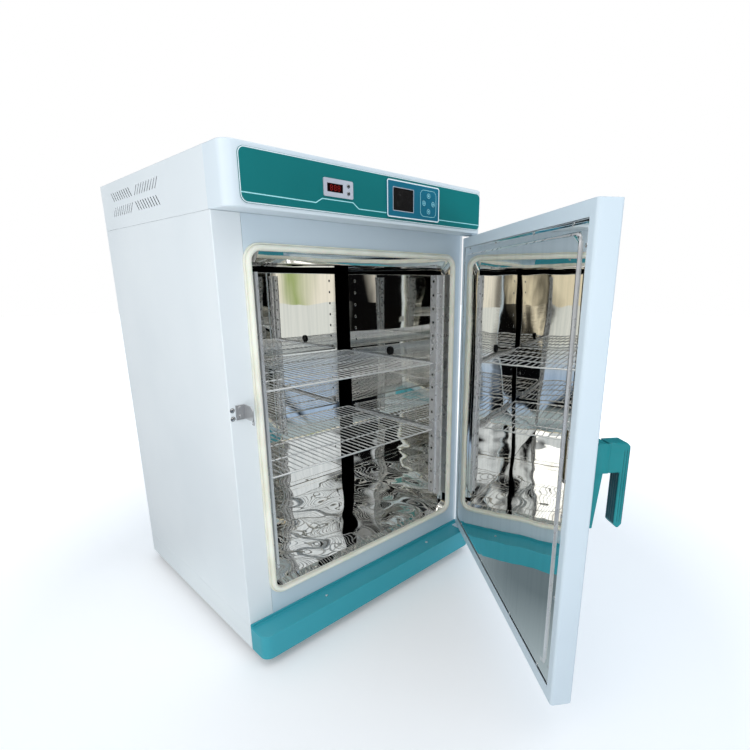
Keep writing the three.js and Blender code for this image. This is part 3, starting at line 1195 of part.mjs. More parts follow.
// Lever: block on the pin, hanging grip with flutes on its outer face
function handleLever() {
  const blockBack = LEVER_PIVOT_Y - LEVER_CLEAR;
  const outer = DOOR_OUTER - LEVER_REACH;
  const gripBack = outer + LEVER_GRIP_THICKNESS;
  const side = outline([
    [blockBack, HANDLE_TOP], [blockBack, LEVER_BLOCK_BOTTOM], [gripBack, LEVER_BLOCK_BOTTOM],
    [gripBack, LEVER_TIP_Z + LEVER_TIP_CORNER], [gripBack - LEVER_TIP_CORNER, LEVER_TIP_Z],
    [outer + LEVER_TIP_CORNER, LEVER_TIP_Z], [outer, LEVER_TIP_Z + LEVER_TIP_CORNER],
    [outer, HANDLE_TOP - LEVER_NOSE_CORNER], [outer + LEVER_NOSE_CORNER, HANDLE_TOP],
  ]);
  const body = alongX(side, HANDLE_LEFT, HANDLE_RIGHT);
  const tongueLeft = HANDLE_LEFT + EAR_WIDTH + GAP;
  const tongueRight = STRIKER_MID - HOOK_THICKNESS / 2 - GAP;
  const tongue = rodX(TONGUE_RADIUS, tongueLeft, tongueRight, LEVER_PIVOT_Y, LEVER_PIVOT_Z)
    .add(block(tongueLeft, tongueRight, blockBack - OVERRUN, LEVER_PIVOT_Y,
      LEVER_PIVOT_Z - TONGUE_RADIUS / 2, LEVER_PIVOT_Z + TONGUE_RADIUS / 2));
  const bore = rodX(LEVER_PIN_BORE, HANDLE_LEFT - OVERRUN, HANDLE_RIGHT + OVERRUN,
    LEVER_PIVOT_Y, LEVER_PIVOT_Z);
  const seat = block(STRIKER_MID - HOOK_THICKNESS / 2 - GAP, STRIKER_MID + HOOK_THICKNESS / 2 + GAP,
    blockBack - HOOK_STEM_REACH - GAP, blockBack + OVERRUN,
    LEVER_PIVOT_Z - HOOK_EYE_RADIUS / 2 - GAP, LEVER_PIVOT_Z + HOOK_EYE_RADIUS / 2 + GAP);
  const flutes = [];
  const middle = (HANDLE_LEFT + HANDLE_RIGHT) / 2;
  for (let i = 0; i < FLUTE_COUNT; i += 1) {
    const x = middle + (i - (FLUTE_COUNT - 1) / 2) * FLUTE_SPACING;
    flutes.push(block(x - FLUTE_WIDTH / 2, x + FLUTE_WIDTH / 2, outer - OVERRUN, outer + FLUTE_DEPTH,
      LEVER_TIP_Z + FLUTE_BOTTOM_MARGIN, LEVER_BLOCK_BOTTOM));
  }
  return body.add(tongue).subtract(joined([bore, seat, ...flutes]));
}

// Steel hook, keyed to the lever, reaching through the door skin under the striker
function latchHook() {
  const left = STRIKER_MID - HOOK_THICKNESS / 2;
  const right = STRIKER_MID + HOOK_THICKNESS / 2;
  const blockBack = LEVER_PIVOT_Y - LEVER_CLEAR;
  const toothFront = -STRIKER_REACH + STRIKER_TOOTH_LENGTH - HOOK_TOOTH_BEHIND;
  const toothRear = toothFront + HOOK_TOOTH_LENGTH;
  const toothTop = STRIKER_BOTTOM - STRIKER_TOOTH - HOOK_TOOTH_CLEARANCE;
  const armBottom = LEVER_PIVOT_Z - HOOK_ARM_DROP;
  const armTop = armBottom + HOOK_ARM_HEIGHT;
  const kneeRear = LEVER_PIVOT_Y + HOOK_EYE_RADIUS / 2;
  const kneeFront = LEVER_PIVOT_Y - HOOK_EYE_RADIUS / 2;
  const arm = outline([
    [kneeFront, LEVER_PIVOT_Z], [kneeFront, armBottom], [toothRear, armBottom],
    [toothRear, toothTop], [toothFront, toothTop], [toothFront, armTop],
    [kneeRear, armTop], [kneeRear, LEVER_PIVOT_Z],
  ]);
  const eye = rodX(HOOK_EYE_RADIUS, left, right, LEVER_PIVOT_Y, LEVER_PIVOT_Z);
  const stem = block(left, right, blockBack - HOOK_STEM_REACH, LEVER_PIVOT_Y,
    LEVER_PIVOT_Z - HOOK_EYE_RADIUS / 2, LEVER_PIVOT_Z + HOOK_EYE_RADIUS / 2);
  const bore = rodX(LEVER_PIN_BORE, left - OVERRUN, right + OVERRUN, LEVER_PIVOT_Y, LEVER_PIVOT_Z);
  return joined([alongX(arm, left, right), eye, stem]).subtract(bore);
}

function leverPin() {
  return rodX(LEVER_PIN_RADIUS, HANDLE_LEFT, HANDLE_RIGHT, LEVER_PIVOT_Y, LEVER_PIVOT_Z);
}

addPart(door, 'door_shell', doorShell(), WHITE_PAINT);
addPart(door, 'door_liner', doorLiner(), MIRROR_STEEL);
addPart(door, 'door_insulation', doorPad(), WOOL);
addPart(door, 'pivot_bush_bottom', bush(DOOR_BOTTOM, 1), BLACK_RUBBER);
addPart(door, 'pivot_bush_top', bush(DOOR_TOP, -1), BLACK_RUBBER);
addPart(door, 'handle_base', handleBase(), TEAL_PAINT);
addPart(door, 'handle_lever', handleLever(), TEAL_PAINT);
addPart(door, 'latch_hook', latchHook(), DULL_STEEL);
addPart(door, 'handle_pin', leverPin(), CHROME);

// Swing: turn about the pivot and keep the pivot where it is
const swing = THREE.MathUtils.degToRad(DOOR_REST_ANGLE);
const turned = new THREE.Vector3(PIVOT_X, PIVOT_Y, 0).applyAxisAngle(AXIS_Z, swing);
door.rotation.z = swing;
door.position.set(PIVOT_X - turned.x, PIVOT_Y - turned.y, 0);

export default oven;
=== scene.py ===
import json
import math

import bmesh
import bpy
import numpy as np
from mathutils import Matrix, Vector


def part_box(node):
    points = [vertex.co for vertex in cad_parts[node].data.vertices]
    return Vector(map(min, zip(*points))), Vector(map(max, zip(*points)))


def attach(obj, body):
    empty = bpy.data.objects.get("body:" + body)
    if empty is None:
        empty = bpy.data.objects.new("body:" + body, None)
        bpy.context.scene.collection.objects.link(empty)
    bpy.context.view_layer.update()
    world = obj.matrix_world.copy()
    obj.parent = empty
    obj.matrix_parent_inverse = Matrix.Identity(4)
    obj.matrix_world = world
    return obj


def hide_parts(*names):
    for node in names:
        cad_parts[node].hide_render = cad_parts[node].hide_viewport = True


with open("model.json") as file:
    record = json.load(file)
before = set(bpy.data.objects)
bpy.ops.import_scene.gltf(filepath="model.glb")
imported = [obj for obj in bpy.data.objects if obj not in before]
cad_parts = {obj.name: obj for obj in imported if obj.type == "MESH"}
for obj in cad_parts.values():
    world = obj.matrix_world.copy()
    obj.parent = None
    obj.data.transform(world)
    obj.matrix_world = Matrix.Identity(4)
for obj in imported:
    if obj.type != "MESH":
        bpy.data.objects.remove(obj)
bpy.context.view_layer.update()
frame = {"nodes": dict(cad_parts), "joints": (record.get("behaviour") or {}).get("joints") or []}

# A drying oven with its door ajar. X runs along the front, -Y is toward the user and +Z is up. The oven's
# sizes are in millimetres here and the studio's in metres, which is what Blender works in.
MM = 0.001
WHOLE_TURN = 2 * math.pi

# The camera, solved from the cabinet's corners: a point, two angles, a tilt and the lens
PICTURE = 750
CAMERA_AT = (-816.175, -960.122, 871.999)
CAMERA_HEADING = 45.905
CAMERA_PITCH = 15.197
CAMERA_ROLL = 0.247
FOCAL_PIXELS = 492.307
CENTRE_PIXEL = (414.109, 414.771)
SENSOR = 36
CLIP_METRES = (0.05, 100)

# The door: its swing at rest and the pin that it swings on
hinge = next(j for j in frame["joints"] if j["name"] == "door_hinge")
DOOR_SWING = math.radians(-hinge["range_deg"][0])
DOOR_PIVOT = np.array(hinge["pos_m"]) / MM


def box_mm(node):
    """Lowest and highest corner of a node, in millimetres."""
    low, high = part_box(node)
    return np.array(low) / MM, np.array(high) / MM


def swung(points, angle):
    """Points turned about the hinge pin by an angle."""
    moved = np.asarray(points, float) - DOOR_PIVOT
    cos, sin = math.cos(angle), math.sin(angle)
    turn = np.array([[cos, -sin, 0], [sin, cos, 0], [0, 0, 1]])
    return moved @ turn.T + DOOR_PIVOT


def from_closed_door(points):
    """Points given for the shut door, turned by the door's swing at rest."""
    return swung(points, DOOR_SWING)


# Camera

def make_camera():
    """Looks ahead along (sin h cos p, cos h cos p, -sin p) for heading h and pitch p. Right is the level way
    square to that, rolled, and up is square to both."""
    data = bpy.data.cameras.new("view")
    data.sensor_width = SENSOR
    data.lens = FOCAL_PIXELS * SENSOR / PICTURE
    data.shift_x = (PICTURE / 2 - CENTRE_PIXEL[0]) / PICTURE
    data.shift_y = (CENTRE_PIXEL[1] - PICTURE / 2) / PICTURE
    data.clip_start, data.clip_end = CLIP_METRES
    heading, pitch, roll = (math.radians(a) for a in (CAMERA_HEADING, CAMERA_PITCH, CAMERA_ROLL))
    ahead = Vector((math.sin(heading) * math.cos(pitch), math.cos(heading) * math.cos(pitch),
                    -math.sin(pitch)))
    level = Vector((math.cos(heading), -math.sin(heading), 0))
    upward = level.cross(ahead)
    right = level * math.cos(roll) + upward * math.sin(roll)
    up = right.cross(ahead)
    camera = bpy.data.objects.new("camera", data)
    camera.matrix_world = Matrix((
        (right.x, up.x, -ahead.x, CAMERA_AT[0] * MM), (right.y, up.y, -ahead.y, CAMERA_AT[1] * MM),
        (right.z, up.z, -ahead.z, CAMERA_AT[2] * MM), (0, 0, 0, 1)))
    bpy.context.scene.collection.objects.link(camera)
    bpy.context.scene.camera = camera


make_camera()


# Materials

def srgb(code):
    """Linear colour of a six-digit colour code."""
    parts = [int(code[i:i + 2], 16) / 255 for i in (0, 2, 4)]
    return tuple(c / 12.92 if c <= 0.04045 else ((c + 0.055) / 1.055) ** 2.4 for c in parts) + (1,)


class Tree:
    """The nodes of a material or of the surround."""

    def __init__(self, owner):
        owner.use_nodes = True
        self.tree = owner.node_tree

    def node(self, kind, inputs=None, **settings):
        made = self.tree.nodes.new(kind)
        for key, value in settings.items():
            setattr(made, key, value)
        self.set(made, inputs or {})
        return made

    def set(self, node, inputs):
        """Each input is linked where its value comes from another node, and otherwise takes the value."""
        for key, value in inputs.items():
            if isinstance(value, bpy.types.NodeSocket):
                self.tree.links.new(value, node.inputs[key])
            else:
                node.inputs[key].default_value = value

    def ranged(self, value, low, high, to_low=0.0, to_high=1.0):
        """A value moved from one range to another, clamped."""
        return self.node("ShaderNodeMapRange", {"Value": value, "From Min": low, "From Max": high,
                                                "To Min": to_low, "To Max": to_high}).outputs[0]

    def mixed(self, share, first, second):
        node = self.node("ShaderNodeMix", data_type="RGBA")
        self.set(node, {0: share, 6: first, 7: second})
        return node.outputs[2]

    def maths(self, kind, a, b):
        return self.node("ShaderNodeMath", {0: a, 1: b}, operation=kind).outputs[0]


class Finish(Tree):
    """A material of the oven."""

    def __init__(self, name, colour, roughness, metallic=0.0, **sockets):
        self.material = bpy.data.materials.new(name)
        super().__init__(self.material)
        self.shader = self.tree.nodes["Principled BSDF"]
        self.place = self.node("ShaderNodeTexCoord").outputs["Object"]
        self.set(self.shader, {"Base Color": colour, "Roughness": roughness, "Metallic": metallic})
        self.wear(**sockets)

    def noise(self, scale, detail=2.0, stretch=None):
        """Noise on object coordinates, stretched along each axis if need be."""
        place = self.place
        if stretch:
            place = self.node("ShaderNodeMapping", {"Vector": place, "Scale": stretch}).outputs[0]
        return self.node("ShaderNodeTexNoise",
                         {"Vector": place, "Scale": scale, "Detail": detail}).outputs[0]

    def patches(self, scale, detail, low=0.0, high=1.0):
        """Noise spread over the whole of a range."""
        return self.ranged(self.noise(scale, detail), 0.3, 0.7, low, high)

    def grain(self, scale, detail, distance, strength):
        return self.bumped(self.noise(scale, detail), distance, strength)

    def bumped(self, height, distance, strength=1.0, under=None):
        inputs = {"Height": height, "Distance": distance, "Strength": strength}
        if under is not None:
            inputs["Normal"] = under
        return self.node("ShaderNodeBump", inputs).outputs[0]

    def wear(self, **sockets):
        self.set(self.shader, {key.replace("_", " "): value for key, value in sockets.items()})
        return self.material


POWDER_GLOSS = 0.36


def powder_coat(name, code, shade):
    """Sprayed powder: a faint orange peel, slow shifts of tone and of gloss."""
    finish = Finish(name, srgb(code), POWDER_GLOSS, Coat_Weight=0.25, Coat_Roughness=0.22)
    tone = finish.ranged(finish.noise(2.4, 3), 0.35, 0.65)
    return finish.wear(
        Base_Color=finish.mixed(tone, srgb(shade), srgb(code)),
        Roughness=finish.patches(38, 3, POWDER_GLOSS - 0.02, POWDER_GLOSS + 0.03),
        Normal=finish.grain(620, 2, 0.00012, 0.35))


def moulded(name, code, shade, roughness, grain=900):
    """Moulded plastic: a spark-eroded grain and slightly uneven tone."""
    finish = Finish(name, srgb(code), roughness, Specular_IOR_Level=0.45)
    return finish.wear(
        Base_Color=finish.mixed(finish.patches(16, 3), srgb(shade), srgb(code)),
        Roughness=finish.patches(120, 3, roughness - 0.06, roughness + 0.08),
        Normal=finish.grain(grain, 2, 0.0001, 0.5))


def printed_film(name, code, shade):
    """Printed polyester film: a fine satin grain under a thin clear layer."""
    finish = Finish(name, srgb(code), 0.3, Coat_Weight=0.15, Coat_Roughness=0.2)
    return finish.wear(
        Base_Color=finish.mixed(finish.patches(5, 2), srgb(shade), srgb(code)),
        Normal=finish.grain(1700, 1, 0.00005, 0.5))


MIRROR = (0.93, 0.92, 0.895, 1)
SCRATCHED = (0.86, 0.86, 0.84, 1)
# Near black: painted shade for the liner where it lies behind the ducts and the back
SHADE_BLACK = (0.012, 0.012, 0.014, 1)
CALM = 0.006
HAZE = 0.025
RIPPLE_SHARE = 0.12


def polished(name, wave):
    """Mirror steel: a slow swell in the sheet, faint polishing haze and fine scratches."""
    finish = Finish(name, MIRROR, CALM, 1.0)
    swell = finish.noise(4.2, 0.6, (1, 1, 0.7))
    ripple = finish.noise(11, 0.5)
    scratch = finish.noise(60, 3, (1, 1, 0.04))
    haze = finish.ranged(finish.noise(7, 4), 0.35, 0.75, CALM, CALM + HAZE)
    slow = finish.bumped(swell, wave)
    quick = finish.bumped(ripple, wave * RIPPLE_SHARE, under=slow)
    return finish.wear(
        Base_Color=finish.mixed(finish.ranged(scratch, 0.45, 0.7), MIRROR, SCRATCHED),
        Roughness=haze, Normal=quick)


def wire_chrome():
    """Plated wire: bright, with a slight mottle where it was drawn."""
    finish = Finish("chrome", (0.86, 0.86, 0.85, 1), 0.12, 0.5)
    mottle = finish.noise(240, 3)
    return finish.wear(
        Base_Color=finish.mixed(mottle, (0.93, 0.93, 0.92, 1), (1.0, 1.0, 0.99, 1)),
        Roughness=finish.ranged(mottle, 0.3, 0.7, 0.05, 0.15),
        Normal=finish.bumped(mottle, 0.0002, 0.3))


def brushed(name, value, roughness=0.34, metal=1.0):
    """Zinc-plated or brushed steel: streaks along one way and cloudy gloss."""
    dark = (value * 0.8, value * 0.8, value * 0.82, 1)
    light = (value, value, value * 0.99, 1)
    finish = Finish(name, light, roughness, metal)
    streak = finish.noise(320, 3, (1, 1, 0.06))
    return finish.wear(
        Base_Color=finish.mixed(streak, dark, light),
        Roughness=finish.patches(30, 3, roughness - 0.08, roughness + 0.1),
        Normal=finish.bumped(streak, 0.0001, 0.4))


def silicone():
    """Cream silicone seal: soft, slightly see-through and finely dimpled."""
    finish = Finish("seal_rubber", srgb("e4e4d4"), 0.48, Subsurface_Weight=0.12, Subsurface_Scale=0.004,
                    Specular_IOR_Level=0.4)
    return finish.wear(
        Base_Color=finish.mixed(finish.patches(14, 3), srgb("e8e7d6"), srgb("f6f5e8")),
        Normal=finish.grain(420, 2, 0.0002, 0.35))


def wool():
    """Mineral wool: soft fibres and lumps."""
    finish = Finish("insulation", srgb("c9b98c"), 0.95)
    fibre = finish.noise(160, 4, (1, 0.15, 1))
    return finish.wear(
        Base_Color=finish.mixed(fibre, srgb("a5946a"), srgb("dccfa6")),
        Normal=finish.bumped(fibre, 0.002, 0.8))


def dark_glass(name, code, shade, coat):
    """Tinted window: glossy, almost black, with a trace of dust."""
    finish = Finish(name, srgb(code), 0.12, Coat_Weight=coat, Coat_Roughness=0.05)
    dust = finish.ranged(finish.noise(90, 4), 0.5, 0.8)
    return finish.wear(
        Base_Color=finish.mixed(dust, srgb(code), srgb(shade)),
        Roughness=finish.ranged(dust, 0, 1, 0.08, 0.3))


DUCT_EDGE = 0.5
DUCT_FRONT = 3
BACK_FRONT = 1


def liner_steel():
    """The chamber liner: mirror steel where it shows; behind the ducts and the back it is rough and painted
    near black, as painted shade.
    """
    finish = Finish("liner_steel", MIRROR, 0.01, 1.0)
    low, high = box_mm("side_duct_left")
    far = box_mm("side_duct_right")[0]
    back = box_mm("chamber_back_panel")[0]
    middle = (high[0] + far[0]) / 2 * MM
    half_room = (far[0] - high[0]) / 2 * MM + DUCT_EDGE * MM
    x, y = finish.node("ShaderNodeSeparateXYZ", {"Vector": finish.place}).outputs[:2]
    aside = finish.maths("ABSOLUTE", finish.maths("SUBTRACT", x, middle), 0)
    outside = finish.maths("GREATER_THAN", aside, half_room)
    inward = finish.maths("GREATER_THAN", y, (low[1] + DUCT_FRONT) * MM)
    behind = finish.maths("GREATER_THAN", y, (back[1] + BACK_FRONT) * MM)
    hidden = finish.maths("MAXIMUM", finish.maths("MULTIPLY", outside, inward), behind)
    swell = finish.noise(5.5, 1.0)
    # Behind the ducts and the back the liner is painted near black: painted shade
    return finish.wear(
        Base_Color=finish.mixed(hidden, MIRROR, SHADE_BLACK),
        Roughness=finish.ranged(hidden, 0, 1, 0.01, 0.5), Normal=finish.bumped(swell, 0.01))


def plain(name, code, roughness, **sockets):
    """A small printed or painted mark, with a faint grain."""
    finish = Finish(name, srgb(code), roughness, **sockets)
    return finish.wear(Normal=finish.grain(1500, 1, 0.00004, 0.4))


# Each kind of finish: its names, and what it is called with
FINISHES = {
    powder_coat: {
        "white_paint": ("e9eef0", "e1e7ea"),
        # The cap's paint and the front paint are the white paint made darker and bluer: painted shade for
        # the faces that look to the front
        "shaded_cap_paint": ("dee8ed", "d8e2e9"),
        "front_paint": ("d1dee6", "cbd8e1"),
        "teal_paint": ("33a4b3", "31a0af"),
    },
    printed_film: {
        "fascia_film": ("0a7879", "087273"),
        "keypad": ("14718b", "126980"),
        "key_plastic": ("2e86a0", "2a7d95"),
    },
    polished: {
        "mirror_steel": (0.0012,),
        "door_steel": (0.003,),
    },
    brushed: {
        "dull_steel": (0.55,),
        "bright_steel": (0.9, 0.2),
        "zinc_steel": (0.66, 0.3, 0.7),
        "press_steel": (0.86, 0.3, 0.6),
        "satin_steel": (0.92, 0.3, 0.55),
    },
    moulded: {
        "black_rubber": ("17181a", "0f1011", 0.6, 500),
        "bezel_plastic": ("c3c6cf", "b6b9c4", 0.36),
        "board": ("1c5a35", "164a2b", 0.5),
        "handle_plastic": ("1f8d93", "198389", 0.34),
        # A darker copy of the handle's plastic: painted shade in the handle's grooves and on the grip's
        # inner face
        "handle_painted_shade": ("0d4a52", "0a3f47", 0.5),
    },
    dark_glass: {
        "display_red": ("180406", "260a0c", 0.2),
        "lcd": ("1e1c1b", "292726", 0.5),
    },
}
LOOKS = {name: make(name, *given) for make, named in FINISHES.items()
         for name, given in named.items()}
LOOKS.update({
    "liner_steel": liner_steel(),
    "chrome": wire_chrome(),
    "seal_rubber": silicone(),
    "insulation": wool(),
    "print_line": plain("print_line", "a9e6ea", 0.35),
    "white_band": plain("white_band", "e9f4f8", 0.35),
    "segment": plain("segment", "8a1a16", 0.3, Emission_Color=srgb("c01810"), Emission_Strength=0.25),
})


# Meshes

MERGE_METRES = 0.000002
CREASE = math.radians(42)


def put(name, parts, look, body, replaces=(), smooth=True, closed=True, shut=False):
    """A mesh from parts, each of them points in millimetres and faces, dressed and riding on its body. A
    closed one has its seams and poles merged and its faces turned outwards. Points that are given for the
    shut door are turned to where it stands."""
    mesh = bpy.data.meshes.new(name)
    points, faces = joined_faces(parts)
    points = (from_closed_door(points) if shut else points) * MM
    mesh.vertices.add(len(points))
    mesh.vertices.foreach_set("co", points.ravel())
    corners = faces.shape[1]
    mesh.loops.add(faces.size)
    mesh.loops.foreach_set("vertex_index", faces.ravel())
    mesh.polygons.add(len(faces))
    mesh.polygons.foreach_set("loop_start", np.arange(len(faces)) * corners)
    mesh.update(calc_edges=True)
    mesh.polygons.foreach_set("use_smooth", np.full(len(faces), smooth))
    if closed:
        shape = bmesh.new()
        shape.from_mesh(mesh)
        bmesh.ops.remove_doubles(shape, verts=shape.verts, dist=MERGE_METRES)
        bmesh.ops.recalc_face_normals(shape, faces=shape.faces)
        shape.to_mesh(mesh)
        shape.free()
    if smooth:
        mesh.set_sharp_from_angle(angle=CREASE)
    return dress(bpy.data.objects.new(name, mesh), look, body, replaces)


def dress(piece, look, body, replaces=()):
    """A piece gets its finish, its body and the CAD nodes that it stands for."""
    bpy.context.scene.collection.objects.link(piece)
    piece.data.materials.clear()
    piece.data.materials.append(LOOKS[look])
    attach(piece, body)
    if replaces:
        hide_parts(*replaces)
    return piece


def quads(rows, columns, wrap_rows=False, wrap_columns=False, flip=False):
    """Corner numbers of the four-sided faces of a grid of points, row after row."""
    i = np.arange(rows if wrap_rows else rows - 1)[:, None]
    j = np.arange(columns if wrap_columns else columns - 1)[None, :]
    a = i * columns + j
    b = i * columns + (j + 1) % columns
    c = (i + 1) % rows * columns + (j + 1) % columns
    d = (i + 1) % rows * columns + j
    found = np.stack(np.broadcast_arrays(a, b, c, d), -1).reshape(-1, 4)
    return found[:, ::-1] if flip else found


def joined_faces(parts):
    """Points and faces of several grids put into one list."""
    points, faces, start = [], [], 0
    for p, f in parts:
        p = np.asarray(p, float).reshape(-1, 3)
        points.append(p)
        faces.append(np.asarray(f) + start)
        start += len(p)
    return np.concatenate(points), np.concatenate(faces)


def round_corners(x0, x1, z0, z1, radius, outset=0.0, steps=8):
    """Rounded rectangle in XZ: four quarter circles about the corner centres, each grown by the outset."""
    turn = np.linspace(0, math.pi / 2, steps + 1)
    centres = [(x1 - radius, z1 - radius, 0), (x0 + radius, z1 - radius, 1),
               (x0 + radius, z0 + radius, 2), (x1 - radius, z0 + radius, 3)]
    reach = radius + outset
    return np.concatenate([
        np.stack([cx + reach * np.cos(turn + quarter * math.pi / 2),
                  cz + reach * np.sin(turn + quarter * math.pi / 2)], -1)
        for cx, cz, quarter in centres])


def framed(x0, x1, z0, z1, radius, profile, steps=8):
    """A profile of (outset, y) pairs carried round a rounded rectangle: one ring of points per pair."""
    rings = []
    for outset, y in profile:
        ring = round_corners(x0, x1, z0, z1, radius, outset, steps)
        rings.append(np.stack([ring[:, 0], np.full(len(ring), y), ring[:, 1]], -1))
    return np.stack(rings)


def turned(profile, centre, axis, sides=24, closed=False, start=0.0):
    """A profile of (radius, height) pairs turned about an axis through the centre."""
    axis = np.asarray(axis, float) / np.linalg.norm(axis)
    side = np.cross(axis, (0.0, 0.0, 1.0) if abs(axis[2]) < 0.9 else (1.0, 0.0, 0.0))
    side /= np.linalg.norm(side)
    other = np.cross(axis, side)
    turn = start + np.linspace(0, WHOLE_TURN, sides, endpoint=False)
    round_ = np.cos(turn)[:, None] * side + np.sin(turn)[:, None] * other
    profile = np.asarray(profile, float)
    grid = (np.asarray(centre, float) + profile[:, 0, None, None] * round_
            + profile[:, 1, None, None] * axis)
    return grid, quads(len(profile), sides, wrap_rows=closed, wrap_columns=True)


TUBE_SIDES = 12


def tube(path, radius, closed=False):
    """A circle carried along a path: at each point it stands square to the path's own direction."""
    path = np.asarray(path, float)
    ahead = np.roll(path, -1, 0) - np.roll(path, 1, 0) if closed else np.gradient(path, axis=0)
    ahead /= np.linalg.norm(ahead, axis=1)[:, None]
    fixed = np.array([0.0, 0.0, 1.0]) if np.abs(ahead[:, 2]).max() < 0.9 else np.array([0.0, 1.0, 0.0])
    side = np.cross(ahead, fixed)
    side /= np.linalg.norm(side, axis=1)[:, None]
    up = np.cross(side, ahead)
    turn = np.linspace(0, WHOLE_TURN, TUBE_SIDES, endpoint=False)
    grid = path[:, None] + radius * (np.cos(turn)[None, :, None] * side[:, None]
                                     + np.sin(turn)[None, :, None] * up[:, None])
    return grid, quads(len(path), TUBE_SIDES, wrap_rows=closed, wrap_columns=True, flip=True)


# Rings of a rod from one end to the other: the share of its radius, and how far past the end's point
ROD_SIDES = 10
ROD_RING_SHARES = np.array([0.02, 0.75, 1.0, 1.0, 0.75, 0.02])
ROD_STEP_SHARES = np.array([0.0, 0.25, 0.9, -0.9, -0.25, 0.0])


def rods(starts, ends, radius):
    """Straight round wires: six rings for each start and end, with tips domed and drawn to a point."""
    starts, ends = np.asarray(starts, float), np.asarray(ends, float)
    ahead = ends - starts
    length = np.linalg.norm(ahead, axis=1)[:, None]
    ahead /= length
    side = np.cross(ahead, (0.0, 0.0, 1.0))
    side /= np.linalg.norm(side, axis=1)[:, None]
    up = np.cross(side, ahead)
    turn = np.linspace(0, WHOLE_TURN, ROD_SIDES, endpoint=False)
    swell = ROD_RING_SHARES * radius
    along = ROD_STEP_SHARES * radius
    base = np.stack([starts] * 3 + [ends] * 3, 1) + along[None, :, None] * ahead[:, None]
    ring = (np.cos(turn)[:, None] * side[:, None, :] + np.sin(turn)[:, None] * up[:, None, :])
    grid = base[:, :, None] + swell[None, :, None, None] * ring[:, None]
    rings = len(swell)
    one = quads(rings, ROD_SIDES, wrap_columns=True, flip=True)
    faces = one[None] + (np.arange(len(starts)) * rings * ROD_SIDES)[:, None, None]
    return grid.reshape(-1, 3), faces.reshape(-1, 4)


def flat_strip(path, width, y_back, y_front):
    """A raised band of constant width along a path in XZ, with mitred turns: four points per path point."""
    path = np.asarray(path, float)
    step = np.diff(path, axis=0)
    step /= np.linalg.norm(step, axis=1)[:, None]
    before, after = np.vstack([step[:1], step]), np.vstack([step, step[-1:]])
    ahead = before + after
    ahead /= np.linalg.norm(ahead, axis=1)[:, None]
    normal = np.stack([-ahead[:, 1], ahead[:, 0]], -1)
    lean = (normal * np.stack([-after[:, 1], after[:, 0]], -1)).sum(1)[:, None]
    left, right = path + normal * width / 2 / lean, path - normal * width / 2 / lean
    corners = [(left, y_back), (left, y_front), (right, y_front), (right, y_back)]
    grid = np.stack([np.stack([p[:, 0], np.full(len(p), y), p[:, 1]], -1) for p, y in corners], 1)
    sides = quads(len(path), 4, wrap_columns=True, flip=True)
    last = (len(path) - 1) * 4
    ends = np.array([[0, 1, 2, 3], [last + 3, last + 2, last + 1, last]])
    return grid.reshape(-1, 3), np.concatenate([sides, ends])


FLAT_BEND = math.radians(25)
DISSOLVE = math.radians(0.3)
WIDTH_SHARE = 0.42
TINY = 1e-9


def read_all(parts, key, width=1, kind=float):
    """One key of all of a mesh's parts, as a row for each part."""
    values = np.zeros(len(parts) * width, kind)
    parts.foreach_get(key, values)
    return values.reshape(-1, width) if width > 1 else values


def edge_ends(mesh):
    """The two end points of each edge, in metres."""
    return read_all(mesh.vertices, "co", 3)[read_all(mesh.edges, "vertices", 2, int)]


def beside_edges(mesh, owner, loop_edges):
    """The two faces beside each edge, and how many faces use it: sorting the faces' corners by their edges
    puts the corners of one edge side by side."""
    order = np.argsort(loop_edges, kind="stable")
    uses = np.bincount(loop_edges, minlength=len(mesh.edges))
    first = np.searchsorted(loop_edges[order], np.arange(len(mesh.edges)))
    last = len(order) - 1
    return owner[order[np.minimum(first, last)]], owner[order[np.minimum(first + 1, last)]], uses


def edge_shares(mesh, radius):
    """For each edge, the share of the radius that it takes: none where the faces run on flat or the edge is
    shorter than the radius, as round a bore, and less where a face is too narrow. A four-sided face's width,
    square to an edge, is its area over that edge's length, and another face's width is twice its area over
    its outline's length."""
    areas = read_all(mesh.polygons, "area")
    totals = read_all(mesh.polygons, "loop_total", kind=int)
    normals = read_all(mesh.polygons, "normal", 3)
    loop_edges = read_all(mesh.loops, "edge_index", kind=int)
    ends = edge_ends(mesh)
    length = np.linalg.norm(ends[:, 0] - ends[:, 1], axis=1)
    owner = np.repeat(np.arange(len(areas)), totals)
    one, two, uses = beside_edges(mesh, owner, loop_edges)
    bend = np.arccos(np.clip((normals[one] * normals[two]).sum(1), -1, 1))
    even = 2 * areas / np.maximum(np.bincount(owner, length[loop_edges], len(areas)), TINY)
    square = 1 / np.maximum(length, TINY)
    rooms = [np.where(totals[face] == 4, areas[face] * square, even[face]) for face in (one, two)]
    width = np.minimum(radius * MM, WIDTH_SHARE * np.minimum(*rooms))
    rounded = (uses == 2) & (bend > FLAT_BEND) & (length > radius * MM)
    return np.where(rounded, width / (radius * MM), 0)


